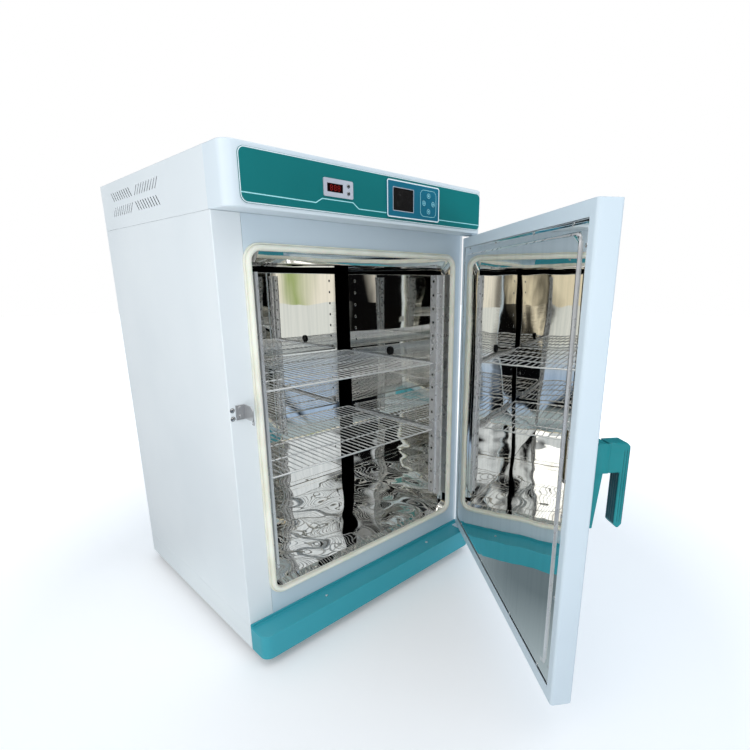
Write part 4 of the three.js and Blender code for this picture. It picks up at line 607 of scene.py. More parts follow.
def refined(node, look, body, radius, chosen=None):
    """A CAD node's shape with its edges rounded: a merged copy whose flat faces are made whole first. Where
    edges are chosen, by their middles in millimetres, the others stay sharp."""
    mesh = frame["nodes"][node].data.copy()
    shape = bmesh.new()
    shape.from_mesh(mesh)
    bmesh.ops.remove_doubles(shape, verts=shape.verts, dist=MERGE_METRES)
    bmesh.ops.dissolve_limit(shape, angle_limit=DISSOLVE, verts=shape.verts, edges=shape.edges)
    shape.to_mesh(mesh)
    shape.free()
    mesh.attributes.remove(mesh.attributes["custom_normal"])
    mesh.polygons.foreach_set("use_smooth", np.ones(len(mesh.polygons), bool))
    mesh.set_sharp_from_angle(angle=FLAT_BEND)
    shares = edge_shares(mesh, radius)
    if chosen:
        shares = shares * chosen(edge_ends(mesh).mean(1) / MM)
    weights = mesh.attributes.new("bevel_weight_edge", "FLOAT", "EDGE")
    weights.data.foreach_set("value", shares.astype(np.float32))
    piece = bpy.data.objects.new(node + "_finished", mesh)
    dress(piece, look, body, (node,))
    bevel = piece.modifiers.new("rounding", "BEVEL")
    bevel.limit_method = "WEIGHT"
    bevel.width = radius * MM
    bevel.segments = 3
    bevel.use_clamp_overlap = False
    bevel.harden_normals = True
    bevel.miter_outer = "MITER_SHARP"
    return piece


def second_look(piece, look, chosen):
    """Another look for the faces whose centres, in millimetres, are chosen."""
    mesh = piece.data
    mesh.materials.append(LOOKS[look])
    centres = read_all(mesh.polygons, "center", 3) / MM
    mesh.polygons.foreach_set("material_index", chosen(centres).astype(np.int32))


def carried(node, look):
    """A CAD node that stays as it is, with its finish."""
    piece = frame["nodes"][node]
    piece.data.materials.clear()
    piece.data.materials.append(LOOKS[look])


# A screw head's outline from its rim in to its recess: shares of its radius and of its height
HEAD_SHARES = [(1.0, 0.0), (1.0, 0.25), (0.94, 0.55), (0.8, 0.8), (0.55, 0.97), (0.3, 1.0), (0.26, 0.62),
               (0.0, 0.62)]


def screw_heads(name, centres, outward, radius, height, body):
    """Domed screw heads with a round recess: one turned profile set at each centre."""
    profile = [(share * radius, rise * height) for share, rise in HEAD_SHARES]
    heads = [turned(profile, centre, outward, 20) for centre in centres]
    put(name, heads, "bright_steel", body)


# The CAD's own shapes, with their edges rounded or as they are

# The rounding of each node's edges in millimetres, by its finish and its slot
ROUNDED = {
    ("white_paint", "white_paint"): {
        "side_panel_left": 2.0, "side_panel_right": 2.0, "skirt_left": 1.0, "skirt_right": 1.0,
        "back_panel": 1.2, "header_housing": 2.0},
    # The header cap wears the white paint darkened and blued: painted shade
    ("shaded_cap_paint", "white_paint"): {"header_cap": 3.0},
    ("teal_paint", "teal_paint"): {"plinth": 1.7},
    ("fascia_film", "fascia_film"): {"fascia_panel": 0.5},
    ("bezel_plastic", "bezel_plastic"): {"limiter_bezel": 0.8},
    ("display_red", "display_red"): {"limiter_display": 0.4},
    ("keypad", "keypad"): {"controller_frame": 0.6},
    ("lcd", "lcd"): {"lcd_window": 0.4},
    ("black_rubber", "black_rubber"): {"power_inlet": 0.8},
    ("dull_steel", "dull_steel"): {"base_pan": 0.8},
    ("zinc_steel", "chrome"): {"striker": 0.6},
    # The front paint is the white paint darkened and blued: painted shade
    ("front_paint", "front_paint"): {"hinge_bracket_bottom": 0.3, "hinge_bracket_top": 0.3},
    ("mirror_steel", "mirror_steel"): {
        "chamber_back_panel": 2.0, "side_duct_left": 0.8, "side_duct_right": 0.8},
    ("satin_steel", "dull_steel"): {
        "shelf_post_left": 0.5, "shelf_post_right": 0.5, "shelf_rail_upper_left": 0.4,
        "shelf_rail_upper_right": 0.4, "shelf_rail_lower_left": 0.4, "shelf_rail_lower_right": 0.4},
}
for (look, slot), nodes in ROUNDED.items():
    for node, radius in nodes.items():
        refined(node, look, "cabinet", radius)

COLLAR_START = 3
# The frame wears the front paint, the white paint darkened and blued as painted shade
front = refined("front_frame", "front_paint", "cabinet", 1.0)
second_look(front, "mirror_steel", lambda centres: centres[:, 1] > COLLAR_START)

LEVER_PIVOT = (-73, 600)
BASE_PLAIN_DROP = 58
PIN_ROOM = 9
SKIN_DEPTH = 1


def on_door_skin(middles):
    """Edges of the door's outer skin. Those inside its hollow stay sharp."""
    shut = swung(middles, -DOOR_SWING)
    depth = np.minimum(shut - shut.min(0), shut.max(0) - shut).min(1)
    return depth < SKIN_DEPTH


# The door wears the front paint, the white paint darkened and blued as painted shade
refined("door_shell", "front_paint", "door", 1.9, on_door_skin)
refined("handle_base", "handle_plastic", "door", 2.0,
        lambda middles: middles[:, 2] < LEVER_PIVOT[1] - BASE_PLAIN_DROP)
refined("handle_lever", "handle_plastic", "handle", 2.0,
        lambda middles: np.abs(middles[:, 2] - LEVER_PIVOT[1]) > PIN_ROOM)
refined("latch_hook", "bright_steel", "handle", 0.6)

for node, body in (("limiter_button_up", "limiter_up"), ("limiter_button_down", "limiter_down")):
    refined(node, "bright_steel", body, 1.0)

KEYS = {"key_up": "up_key", "key_left": "left_key", "key_right": "right_key", "key_down": "down_key"}
for node, body in KEYS.items():
    refined(node, "key_plastic", body, 0.6)

for node, look, slot in (
        ("chamber_liner", "liner_steel", "mirror_steel"),
        ("deck_plate", "dull_steel", "dull_steel"),
        ("insulation_block", "insulation", "insulation"),
        ("door_insulation", "insulation", "insulation"),
        ("fan_impeller", "dull_steel", "dull_steel"),
        ("fan_motor", "black_rubber", "black_rubber"),
        ("heater_element", "dull_steel", "dull_steel"),
        ("circuit_board", "board", "board"),
        ("pivot_bush_bottom", "black_rubber", "black_rubber"),
        ("pivot_bush_top", "black_rubber", "black_rubber"),
        ("handle_pin", "bright_steel", "dull_steel")):
    carried(node, look)


# Chamber seal: a soft bulb with a thin outer lip, carried round the mouth

SEAL_WIDTH = 16
SEAL_LIP = 3.4
SEAL_CORNER = 22
BULB_POWER = 0.62
BULB_STEPS = 15
# The lip's points: how far out from the bulb or in from the seal's edge, and the share of the height
LIP_NEAR_BULB = ((0.2, 0.3), (1.0, 0.42))
LIP_NEAR_EDGE = ((0.9, 0.4), (0.0, 0.24), (0.0, 0.0))


def chamber_seal():
    """A profile carried round the mouth's rounded rectangle. Its bulb is x = w / 2 (1 + cos a) and
    y = h (sin a) ^ 0.62, for a from half a turn to none, and its lip is a short outline beside the bulb."""
    low, high = box_mm("chamber_gasket")
    back, height = high[1], high[1] - low[1]
    turn = np.linspace(math.pi, 0, BULB_STEPS)[1:-1]
    bulb = SEAL_WIDTH - SEAL_LIP
    profile = [(0.0, back)]
    profile += [(bulb / 2 * (1 + math.cos(a)), back - height * math.sin(a) ** BULB_POWER) for a in turn]
    profile += [(bulb + out, back - height * share) for out, share in LIP_NEAR_BULB]
    profile += [(SEAL_WIDTH - inward, back - height * share) for inward, share in LIP_NEAR_EDGE]
    rings = framed(low[0] + SEAL_WIDTH, high[0] - SEAL_WIDTH, low[2] + SEAL_WIDTH, high[2] - SEAL_WIDTH,
                   SEAL_CORNER, profile, 10)
    faces = quads(len(profile), rings.shape[1], wrap_rows=True, wrap_columns=True)
    put("chamber_seal", [(rings, faces)], "seal_rubber", "cabinet", ("chamber_gasket",))


chamber_seal()


# Wire shelves: a round frame, long wires from front to back and three bars across

SHELF_BEND = 12
LONG_WIRE = 1.5
CROSS_WIRE = 2.0
WIRE_SPACES = 30
SHELF_BAYS = 4


def wire_shelf(node, body):
    """A circle carried round a rounded rectangle, with long round rods side by side along its top and a few
    across them along its bottom."""
    low, high = box_mm(node)
    thick = (high[2] - low[2]) / 2
    middle = (low[2] + high[2]) / 2
    left, front = low[0] + thick, low[1] + thick
    right, rear = high[0] - thick, high[1] - thick
    ring = round_corners(left, right, front, rear, SHELF_BEND, 0, 6)
    path = np.stack([ring[:, 0], ring[:, 1], np.full(len(ring), middle)], -1)
    across = np.linspace(left, right, WIRE_SPACES + 1)[1:-1]
    along = np.linspace(front, rear, SHELF_BAYS + 1)[1:-1]
    top = np.full(len(across), high[2] - LONG_WIRE)
    bottom = np.full(len(along), low[2] + CROSS_WIRE)
    long_ = rods(np.stack([across, np.full(len(across), front - thick / 2), top], -1),
                 np.stack([across, np.full(len(across), rear + thick / 2), top], -1), LONG_WIRE)
    cross = rods(np.stack([np.full(len(along), left), along, bottom], -1),
                 np.stack([np.full(len(along), right), along, bottom], -1), CROSS_WIRE)
    put(node + "_wires", [tube(path, thick, closed=True), long_, cross], "chrome", body, (node,))


wire_shelf("wire_shelf_upper", "upper_shelf")
wire_shelf("wire_shelf_lower", "lower_shelf")


# Door mirror: one pressed sheet whose middle stands proud of a screwed flange

FLANGE_Y = -17.8
PLATEAU_Y = -13.3
PLATEAU = (-336, 336, 149.5, 946.5)
PLATEAU_CORNER = 16
PRESS_WIDTH = 5
# The rises between which the pressed edge is duller
PRESS_MARKS = (0.03, 0.93)
SLOT_X = (-346.5, -337.5)
SLOT_Z = (543, 632)
DOOR_HALF = 358
DOOR_SPAN = (116.5, 968.5)
MIRROR_SHEET = 1.2
COARSE_STEP = 12
FINE_STEP = 0.8
FINE_REACH = 7
NEAR_SHARE = 0.6
SWELL = 0.22
SWELL_ROOM = 0.25
SWELL_LENGTHS = (83, 140, 118)
SWELL_LEAN = 0.7
SWELL_START = 1.3


def lines_between(low, high, marks):
    """Grid lines from low to high: fine ones within reach of each mark, coarse ones elsewhere."""
    lines = [np.arange(low, high, COARSE_STEP), [low, high]]
    for mark in marks:
        fine = np.arange(mark - FINE_REACH, mark + FINE_REACH + FINE_STEP / 2, FINE_STEP)
        lines.append(np.clip(fine, low, high))
    found = np.unique(np.round(np.concatenate(lines), 2))
    kept = [found[0]]
    for value in found[1:]:
        if value - kept[-1] > FINE_STEP * NEAR_SHARE:
            kept.append(value)
    kept[-1] = high
    return np.array(kept)


def press_rise(x, z):
    """How far the sheet is pressed out, from 0 on the flange to 1: r r (3 - 2 r), where r grows over the
    press's width inward from a rounded rectangle."""
    left, right, bottom, top = PLATEAU
    over_x = np.abs(x - (left + right) / 2) - ((right - left) / 2 - PLATEAU_CORNER)
    over_z = np.abs(z - (bottom + top) / 2) - ((top - bottom) / 2 - PLATEAU_CORNER)
    outside = (np.hypot(np.maximum(over_x, 0), np.maximum(over_z, 0))
               + np.minimum(np.maximum(over_x, over_z), 0) - PLATEAU_CORNER)
    rise = np.clip(-outside / PRESS_WIDTH, 0, 1)
    return rise * rise * (3 - 2 * rise)


def in_latch_slot(x, z):
    """Which faces between the grid lines are in the striker's slot."""
    middle_x, middle_z = (x[:-1] + x[1:]) / 2, (z[:-1] + z[1:]) / 2
    across = (middle_x > SLOT_X[0]) & (middle_x < SLOT_X[1])
    up = (middle_z > SLOT_Z[0]) & (middle_z < SLOT_Z[1])
    return (across[:, None] & up[None, :]).ravel()


def door_mirror():
    """A height over a grid: y = flange + rise (plateau - flange - 0.25) + swell, and the swell is
    0.22 rise sin(x / 83 + 0.7 sin(z / 140)) sin(z / 118 + 1.3)."""
    x = np.unique(np.concatenate([lines_between(-DOOR_HALF, DOOR_HALF, PLATEAU[:2]), SLOT_X]))
    z = np.unique(np.concatenate([lines_between(*DOOR_SPAN, PLATEAU[2:]), SLOT_Z]))
    gx, gz = np.meshgrid(x, z, indexing="ij")
    rise = press_rise(gx, gz)
    across, lean, up = SWELL_LENGTHS
    swell = (SWELL * np.sin(gx / across + SWELL_LEAN * np.sin(gz / lean))
             * np.sin(gz / up + SWELL_START) * rise)
    gy = FLANGE_Y + (PLATEAU_Y - FLANGE_Y - SWELL_ROOM) * rise + swell
    kept = ~in_latch_slot(x, z)
    middle_rise = (rise[:-1, :-1] + rise[1:, 1:]).ravel()[kept] / 2
    piece = put("door_mirror", [(np.stack([gx, gy, gz], -1), quads(len(x), len(z))[kept])], "door_steel",
                "door", ("door_liner",), closed=False, shut=True)
    piece.data.materials.append(LOOKS["press_steel"])
    pressed = (middle_rise > PRESS_MARKS[0]) & (middle_rise < PRESS_MARKS[1])
    piece.data.polygons.foreach_set("material_index", pressed.astype(np.int32))
    wall = piece.modifiers.new("sheet", "SOLIDIFY")
    wall.thickness = MIRROR_SHEET * MM
    wall.offset = -1


door_mirror()


# Printed lines, white bands, key marks and display segments

PRINT_LIFT = 0.01
PRINT_RISE = 0.12


def grown(low, high, across, up):
    """Left, right, bottom and top of a box, each moved outwards. A negative amount moves it inwards."""
    return low[0] - across, high[0] + across, low[2] - up, high[2] + up


def outline_band(name, box, corner, width, look, y, proud=PRINT_RISE):
    """A thin raised band just inside a rounded rectangle: a four-sided profile carried round it."""
    profile = [(0, y), (0, y - proud), (-width, y - proud), (-width, y)]
    rings = framed(*box, corner, profile, 8)
    faces = quads(4, rings.shape[1], wrap_rows=True, wrap_columns=True)
    put(name, [(rings, faces)], look, "cabinet", smooth=False)


FASCIA_CORNER = 14
FASCIA_INSET = 0.6
FASCIA_BAND = 1.6
LINE_WIDTH = 2.0
LINE_DROP = 5.5
# The line's points: the edge that each is measured from, how far right of it, and how far down
LINE_POINTS = (
    (("fascia_left", 2, 8), ("bezel_left", -19, 9.5), ("bezel_left", -3, 0), ("bezel_right", 1, 0),
     ("bezel_right", 17, 11), ("controller_left", 1, 11)),
    (("controller_right", -1, 11.5), ("fascia_right", -2, 11.5)))


def fascia_lines():
    """A band round the fascia, and flat strips along a line under the limiter and beside the controller."""
    low, high = box_mm("fascia_panel")
    bezel_low, bezel_high = box_mm("limiter_bezel")
    frame_low, frame_high = box_mm("controller_frame")
    front = low[1] - PRINT_LIFT
    # A thin white band just inside the fascia's edge, where a light line runs round it
    outline_band("fascia_outline", grown(low, high, -FASCIA_INSET, -FASCIA_INSET), FASCIA_CORNER,
                 FASCIA_BAND, "white_band", front)
    edges = {"fascia_left": low[0], "bezel_left": bezel_low[0], "bezel_right": bezel_high[0],
             "controller_left": frame_low[0], "controller_right": frame_high[0], "fascia_right": high[0]}
    under = bezel_low[2] - LINE_DROP
    paths = [[(edges[edge] + aside, under - drop) for edge, aside, drop in points]
             for points in LINE_POINTS]
    put("fascia_trim_line", [flat_strip(path, LINE_WIDTH, front, front - PRINT_RISE) for path in paths],
        "print_line", "cabinet", smooth=False)


fascia_lines()


CONTROLLER_CORNER = 6
CONTROLLER_INSET = 0.3
CONTROLLER_BAND = 2.6
CONTROLLER_RISE = 0.2
LCD_MARGIN = 1.8
LCD_CORNER = 1.9
LCD_BAND = 1.4
KEYPAD_CORNER = 12
KEYPAD_MARGINS = (5, 5.5)
KEYPAD_BAND = 0.9


def controller_marks():
    """Bands round the controller, its screen and its four keys."""
    low, high = box_mm("controller_frame")
    front = low[1] - PRINT_LIFT
    outline_band("controller_outline", grown(low, high, -CONTROLLER_INSET, -CONTROLLER_INSET),
                 CONTROLLER_CORNER, CONTROLLER_BAND, "white_band", front, CONTROLLER_RISE)
    outline_band("lcd_outline", grown(*box_mm("lcd_window"), LCD_MARGIN, LCD_MARGIN), LCD_CORNER,
                 LCD_BAND, "bezel_plastic", front)
    keys = np.array([box_mm(node) for node in KEYS])
    outline_band("keypad_outline", grown(keys[:, 0].min(0), keys[:, 1].max(0), *KEYPAD_MARGINS),
                 KEYPAD_CORNER, KEYPAD_BAND, "print_line", front)


controller_marks()


RING_RADII = (5.6, 4.8)
ARROW_RADIUS = 2.6


def key_mark(node, body, turn):
    """A ring and an arrow head, of three sides, on a key's face; the arrow points along the turn."""
    low, high = box_mm(node)
    centre = ((low[0] + high[0]) / 2, low[1] - PRINT_LIFT, (low[2] + high[2]) / 2)
    outer, inner = RING_RADII
    ring = turned([(outer, 0), (outer, PRINT_RISE), (inner, PRINT_RISE), (inner, 0)], centre, (0, -1, 0),
                  32, closed=True)
    arrow = turned([(0, 0), (ARROW_RADIUS, 0), (ARROW_RADIUS, PRINT_RISE), (0, PRINT_RISE)], centre,
                   (0, -1, 0), 3, start=turn + math.pi)
    put(node + "_mark", [ring, arrow], "print_line", body, smooth=False)


for (node, body), turn in zip(KEYS.items(), (0.5, 1.0, 0.0, -0.5)):
    key_mark(node, body, turn * math.pi)


# The ends of a place's seven segments, as steps of its width and of half its height
SEGMENT_ENDS = (((0, 2), (1, 2)), ((0, 1), (1, 1)), ((0, 0), (1, 0)), ((0, 1), (0, 2)), ((1, 1), (1, 2)),
                ((0, 0), (0, 1)), ((1, 0), (1, 1)))
SEGMENT_WIDTH = 1.0
SEGMENT_GAP = 0.8
SEGMENT_RISE = 0.08
DIGIT_WIDTH = 5.2
DIGIT_HEIGHT = 10
DIGIT_SPACE = 4.4
DIGITS = 3


def display_digits():
    """Seven-segment places, all segments alike: a flat strip along each segment, short of its ends."""
    low, high = box_mm("limiter_display")
    front = low[1] - PRINT_LIFT
    x_middle, z_middle = (low[0] + high[0]) / 2, (low[2] + high[2]) / 2
    parts = []
    for digit in range(DIGITS):
        left = x_middle + (digit - (DIGITS - 1) / 2) * (DIGIT_WIDTH + DIGIT_SPACE) - DIGIT_WIDTH / 2
        for start, end in SEGMENT_ENDS:
            ends = np.array([start, end], float) * (DIGIT_WIDTH, DIGIT_HEIGHT / 2)
            ends += (left, z_middle - DIGIT_HEIGHT / 2)
            way = (ends[1] - ends[0]) / np.linalg.norm(ends[1] - ends[0])
            ends += np.array([[SEGMENT_GAP], [-SEGMENT_GAP]]) * way
            parts.append(flat_strip(ends, SEGMENT_WIDTH, front, front - SEGMENT_RISE))
    put("display_digits", parts, "segment", "cabinet", smooth=False)


display_digits()


# Levelling feet, hole lips and folded feet

# A levelling foot's outline: the pad in from its edge, then the nut's radii, each with its height
PAD_OUTLINE = ((1.5, 0), (0, 1.4), (0, 4.2), (1.8, 6.2), (7, 7.4))
NUT_OUTLINE = ((8.6, 8.2), (8.6, 8.6), (9.4, 8.8), (9.4, 13.2), (8.6, 13.6), (6, 13.6))
THREAD_RADIUS = 6
THREAD_DEPTH = 0.5
THREAD_START = 13.6
THREAD_ROOM = 13.8
THREAD_STEPS = 10


def levelling_foot(node):
    """An outline of pad, nut and zigzag thread, turned about the foot's middle."""
    low, high = box_mm(node)
    centre = ((low[0] + high[0]) / 2, (low[1] + high[1]) / 2, low[2])
    pad, top = (high[0] - low[0]) / 2, high[2] - low[2]
    rim = [(pad - inward, height) for inward, height in PAD_OUTLINE]
    thread = [(THREAD_RADIUS - THREAD_DEPTH * (i % 2), THREAD_START + (top - THREAD_ROOM) * i / THREAD_STEPS)
              for i in range(1, THREAD_STEPS + 1)]
    profile = [(0, 0)] + rim + list(NUT_OUTLINE) + thread + [(0, top)]
    put(node + "_turned", [turned(profile, centre, (0, 0, 1), 32)], "black_rubber", "cabinet",
        (node,))


for corner in ("front_left", "front_right", "rear_left", "rear_right"):
    levelling_foot("foot_" + corner)


SHEET = 1.5
HOLE_PITCH = 40
LOWEST_HOLE_RISE = 73
HIGHEST_HOLE_DROP = 34
FRONT_HOLE_Y = 52
REAR_HOLE_INSET = 34
POST_STEP = 1.8
# Radius and height of a hole's rolled lip, and of the black disc of painted shade behind a post's hole
LIP = [(3.25, -1.2), (3.25, 0.1), (3.5, 0.3), (4.5, 0.34), (5.0, 0.02), (5.0, -0.1)]
SHADE_DISC = [(0, 0.05), (4.4, 0.05), (4.4, 0.12), (0, 0.12)]


def hole_rows(side, sign):
    """Rolled lips round the round holes of a duct and its post, and black discs of painted shade behind the
    post's holes: two profiles turned about each hole's middle."""
    duct_low, duct_high = box_mm("side_duct_" + side)
    liner_low, liner_high = box_mm("chamber_liner")
    face = duct_high[0] if sign > 0 else duct_low[0]
    floor, ceiling = liner_low[2] + SHEET, liner_high[2] - SHEET
    heights = np.arange(floor + LOWEST_HOLE_RISE, ceiling - HIGHEST_HOLE_DROP + 1, HOLE_PITCH)
    rows = (face, duct_high[1] - REAR_HOLE_INSET), (face + sign * POST_STEP, FRONT_HOLE_Y)
    lips = [turned(LIP, (x, y, z), (sign, 0, 0), 20, closed=True) for x, y in rows for z in heights]
    put("hole_lips_" + side, lips, "bright_steel", "cabinet")
    # Black discs behind the post's holes: painted shade where the holes show only dark
    shade_discs = [turned(SHADE_DISC, (face, FRONT_HOLE_Y, z), (sign, 0, 0), 20) for z in heights]
    put("post_hole_shade_" + side, shade_discs, "black_rubber", "cabinet")


hole_rows("left", 1)
hole_rows("right", -1)


FOOT_BEND = 2
FOOT_REACH = 14
FOOT_SHEET = 1.2
FOOT_GAP = 0.3


def bent_sheet(outer, inner, start, end, away):
    """Two paths of equal length, (away, up) pairs, joined as one sheet and carried from start to end."""
    section = np.concatenate([outer, inner[::-1]]).astype(float)
    start, end, away = (np.array(p, float) for p in (start, end, away))
    ring = section[:, :1] * away + section[:, 1:] * (0, 0, 1)
    grid = np.stack([start + ring, end + ring])
    count, last = len(section), len(section) - 1
    i = np.arange(len(outer) - 1)
    cap = np.stack([i, i + 1, last - i - 1, last - i], -1)
    faces = np.concatenate([quads(2, count, wrap_columns=True), cap, cap[:, ::-1] + count])
    return grid.reshape(-1, 3), faces


def folded_foot(start, end, away, top):
    """A sheet that comes down, turns through a quarter circle and runs on behind it along the floor."""
    turn = np.linspace(0, math.pi / 2, 6)
    bend = [(FOOT_BEND * (1 - math.cos(a)), FOOT_BEND * (1 - math.sin(a))) for a in turn]
    inside = [(max(x, FOOT_SHEET), max(z, FOOT_SHEET)) for x, z in bend]
    outer = [(0, top)] + bend + [(FOOT_REACH, 0)]
    inner = [(FOOT_SHEET, top)] + inside + [(FOOT_REACH, FOOT_SHEET)]
    return bent_sheet(outer, inner, start, end, away)


def folded_feet():
    """A folded foot under each duct and under the back panel."""
    floor = box_mm("chamber_liner")[0][2] + SHEET + FOOT_GAP
    left, right = box_mm("side_duct_left"), box_mm("side_duct_right")
    back = box_mm("chamber_back_panel")
    tall, low = left[0][2] - floor, back[0][2] - floor
    front, rear = left[0][1], left[1][1]
    feet = [
        folded_foot((left[1][0], front, floor), (left[1][0], rear, floor), (-1, 0, 0), tall),
        folded_foot((right[0][0], front, floor), (right[0][0], rear, floor), (1, 0, 0), tall),
        folded_foot((back[0][0], back[0][1], floor), (back[1][0], back[0][1], floor), (0, 1, 0), low)]
    put("folded_feet", feet, "mirror_steel", "cabinet", smooth=False)


folded_feet()


# Handle: a cheek over the lever's pivot, beads and grooves down its side, a ribbed insert and a saddle

LEVER_SIDE = -362
LEVER_WIDTH = 30
GRIP_BOTTOM_DROP = 138
GRIP_TOP_DROP = 44
SIDE_TOP_RISE = 2
BEAD_RADIUS = 1.0
BEAD_PROUD = 0.55
BEAD_PLACES = (-121.3, -116.8)
GROOVE_RADIUS = 0.6
GROOVE_PROUD = 0.15
GROOVE_PLACES = (-119.1, -114.4, -123.6)
SIDE_STEPS = 24
FADE_BELOW = 8
FADE_ABOVE = 6
FADE_SINK = 1.3


def side_lines(name, look, places, radius, proud):
    """A circle carried down the lever's side at each place, standing p proud of it. Within a length f of an
    end it sinks by 1.3 p (1 - d / f) ^ 2, for a distance d from the end."""
    low, high = LEVER_PIVOT[1] - GRIP_BOTTOM_DROP, LEVER_PIVOT[1] + SIDE_TOP_RISE
    height = np.linspace(low, high, SIDE_STEPS)
    ends = (np.clip(1 - (height - low) / FADE_BELOW, 0, 1) ** 2
            + np.clip(1 - (high - height) / FADE_ABOVE, 0, 1) ** 2)
    side = LEVER_SIDE + radius - proud + proud * ends * FADE_SINK
    lines = [tube(np.stack([side, np.full(len(height), y), height], -1), radius) for y in places]
    put(name, lines, look, "handle", shut=True)


GRIP_BACK = -110
INSERT_HALF = 12.5
INSERT_RIBS = 4
INSERT_RIB_STEPS = 10
INSERT_ROWS = 40
INSERT_END = 4
INSERT_EDGE = 0.1
INSERT_HOLLOW = 0.3
INSERT_RIB = 0.8
INSERT_BACK = 0.05


def grip_insert(low, high):
    """A ribbed strip on the grip's inner face, closed at its back, in a dark teal that paints the shade on
    that face. Its depth is 0.1 + (0.3 + 0.8 |sin a|) sqrt(e), where a grows by half a turn over each rib
    and e, at most 1, is the distance from the nearer end over 4."""
    middle = LEVER_SIDE + LEVER_WIDTH / 2
    across = np.linspace(-INSERT_HALF, INSERT_HALF, INSERT_RIBS * INSERT_RIB_STEPS + 1)
    gx, gz = np.meshgrid(across, np.linspace(low, high, INSERT_ROWS), indexing="ij")
    edge = np.minimum(1, np.minimum(gz - low, high - gz) / INSERT_END)
    rib = np.abs(np.sin((gx + INSERT_HALF) / (2 * INSERT_HALF) * INSERT_RIBS * math.pi))
    depth = INSERT_EDGE + (INSERT_HOLLOW + INSERT_RIB * rib) * np.sqrt(np.clip(edge, 0, 1))
    front = np.stack([middle + gx, GRIP_BACK + depth, gz], -1)
    back = np.stack([middle + gx, np.full(gx.shape, GRIP_BACK + INSERT_BACK), gz], -1)
    rows, columns = gx.shape
    ring = np.concatenate([front, back[::-1]])
    start, last = np.arange(rows - 1), 2 * rows - 1
    caps = [np.stack([start, start + 1, last - start - 1, last - start], -1) * columns + column
            for column in (0, columns - 1)]
    faces = np.concatenate([quads(2 * rows, columns, wrap_rows=True)] + caps)
    # The strip's dark teal is painted shade
    put("grip_insert", [(ring, faces)], "handle_painted_shade", "handle", shut=True)


CHEEK_RADIUS = 13.2
CHEEK_TURN = 64
CHEEK_STEPS = 12
CHEEK_FRONT = 14
CHEEK_BACK = 9
CHEEK_RISE = 11.6
CHEEK_DROP = 41.6
CHEEK_GAP = 0.15
# The cheek's rings: the share of its outline's size, and how far out of the lever's side the ring stands
CHEEK_RINGS = ((0, 0), (1, 0), (1, 0.8), (0.975, 1.2), (0, 1.2))


def handle_cheek():
    """A thin plate over the lever's pivot: an outline with an arc about the pivot, shrunk toward its middle
    from ring to ring."""
    y, z = LEVER_PIVOT
    turn = np.radians(np.linspace(CHEEK_TURN, 0, CHEEK_STEPS))
    arc = [(y + CHEEK_RADIUS * math.cos(a), z + CHEEK_RADIUS * math.sin(a)) for a in turn]
    outline = np.array([(y - CHEEK_FRONT, z + CHEEK_RISE)] + arc
                       + [(y + CHEEK_BACK, z - CHEEK_DROP), (y - CHEEK_FRONT, z - CHEEK_DROP)])
    middle = outline.mean(0)
    rings = []
    for share, out in CHEEK_RINGS:
        ring = middle + (outline - middle) * share
        rings.append(np.stack([np.full(len(ring), LEVER_SIDE - CHEEK_GAP - out), *ring.T], -1))
    faces = quads(len(rings), len(outline), wrap_columns=True)
    put("handle_cheek", [(rings, faces)], "handle_plastic", "handle", shut=True)


DOOR_FACE = -59.2
CAP_FRONT = -80.5
CAP_TOP = 612.2
CAP_SWELL = 0.9
CAP_SHEET = 0.6
CAP_STEPS = 13
SADDLE_RADIUS = 13.6
SADDLE_TURN = (61.5, 10)
SADDLE_STEPS = 10


def handle_saddle():
    """The base behind the lever: a hollow that follows the pivot's circle up from the door's face, and over
    it a thin cap whose top swells by 0.9 sqrt(sin a), for a from none to half a turn."""
    y, z = LEVER_PIVOT
    turn = np.radians(np.linspace(*SADDLE_TURN, SADDLE_STEPS))
    hollow = np.stack([y + SADDLE_RADIUS * np.cos(turn), z + SADDLE_RADIUS * np.sin(turn)], -1)
    behind = np.stack([np.full(len(turn), DOOR_FACE), hollow[:, 1]], -1)
    share = np.linspace(0, 1, CAP_STEPS)
    out = CAP_FRONT + (DOOR_FACE - CAP_FRONT) * share
    crown = np.stack([out, CAP_TOP + CAP_SWELL * np.sqrt(np.sin(share * math.pi).clip(0))], -1)
    under = np.stack([out, np.full(len(out), CAP_TOP - CAP_SHEET)], -1)
    ends = (LEVER_SIDE, 0, 0), (LEVER_SIDE + LEVER_WIDTH, 0, 0), (0, 1, 0)
    put("handle_saddle", [bent_sheet(hollow, behind, *ends), bent_sheet(crown, under, *ends)],
        "handle_plastic", "door", smooth=False, shut=True)


handle_cheek()
side_lines("handle_beads", "handle_plastic", BEAD_PLACES, BEAD_RADIUS, BEAD_PROUD)
# The grooves are dark teal: painted shade in them
side_lines("handle_grooves", "handle_painted_shade", GROOVE_PLACES, GROOVE_RADIUS, GROOVE_PROUD)
grip_insert(LEVER_PIVOT[1] - GRIP_BOTTOM_DROP, LEVER_PIVOT[1] - GRIP_TOP_DROP)
handle_saddle()


# Port plug and inlet pins

# The plug's outline: its face, its rim in from the edge, and its stem short of the end
PLUG_FACE = ((0, 1.6), (5, 1.5), (7.2, 1.1), (8.4, 0.3))
PLUG_RIM = ((2, 0), (0.6, 0.5), (0, 1.8), (0, 4.2), (0.6, 5))
PLUG_NECK = (10, 5)
PLUG_STEM = ((10, 1), (9.2, 0), (0, 0))


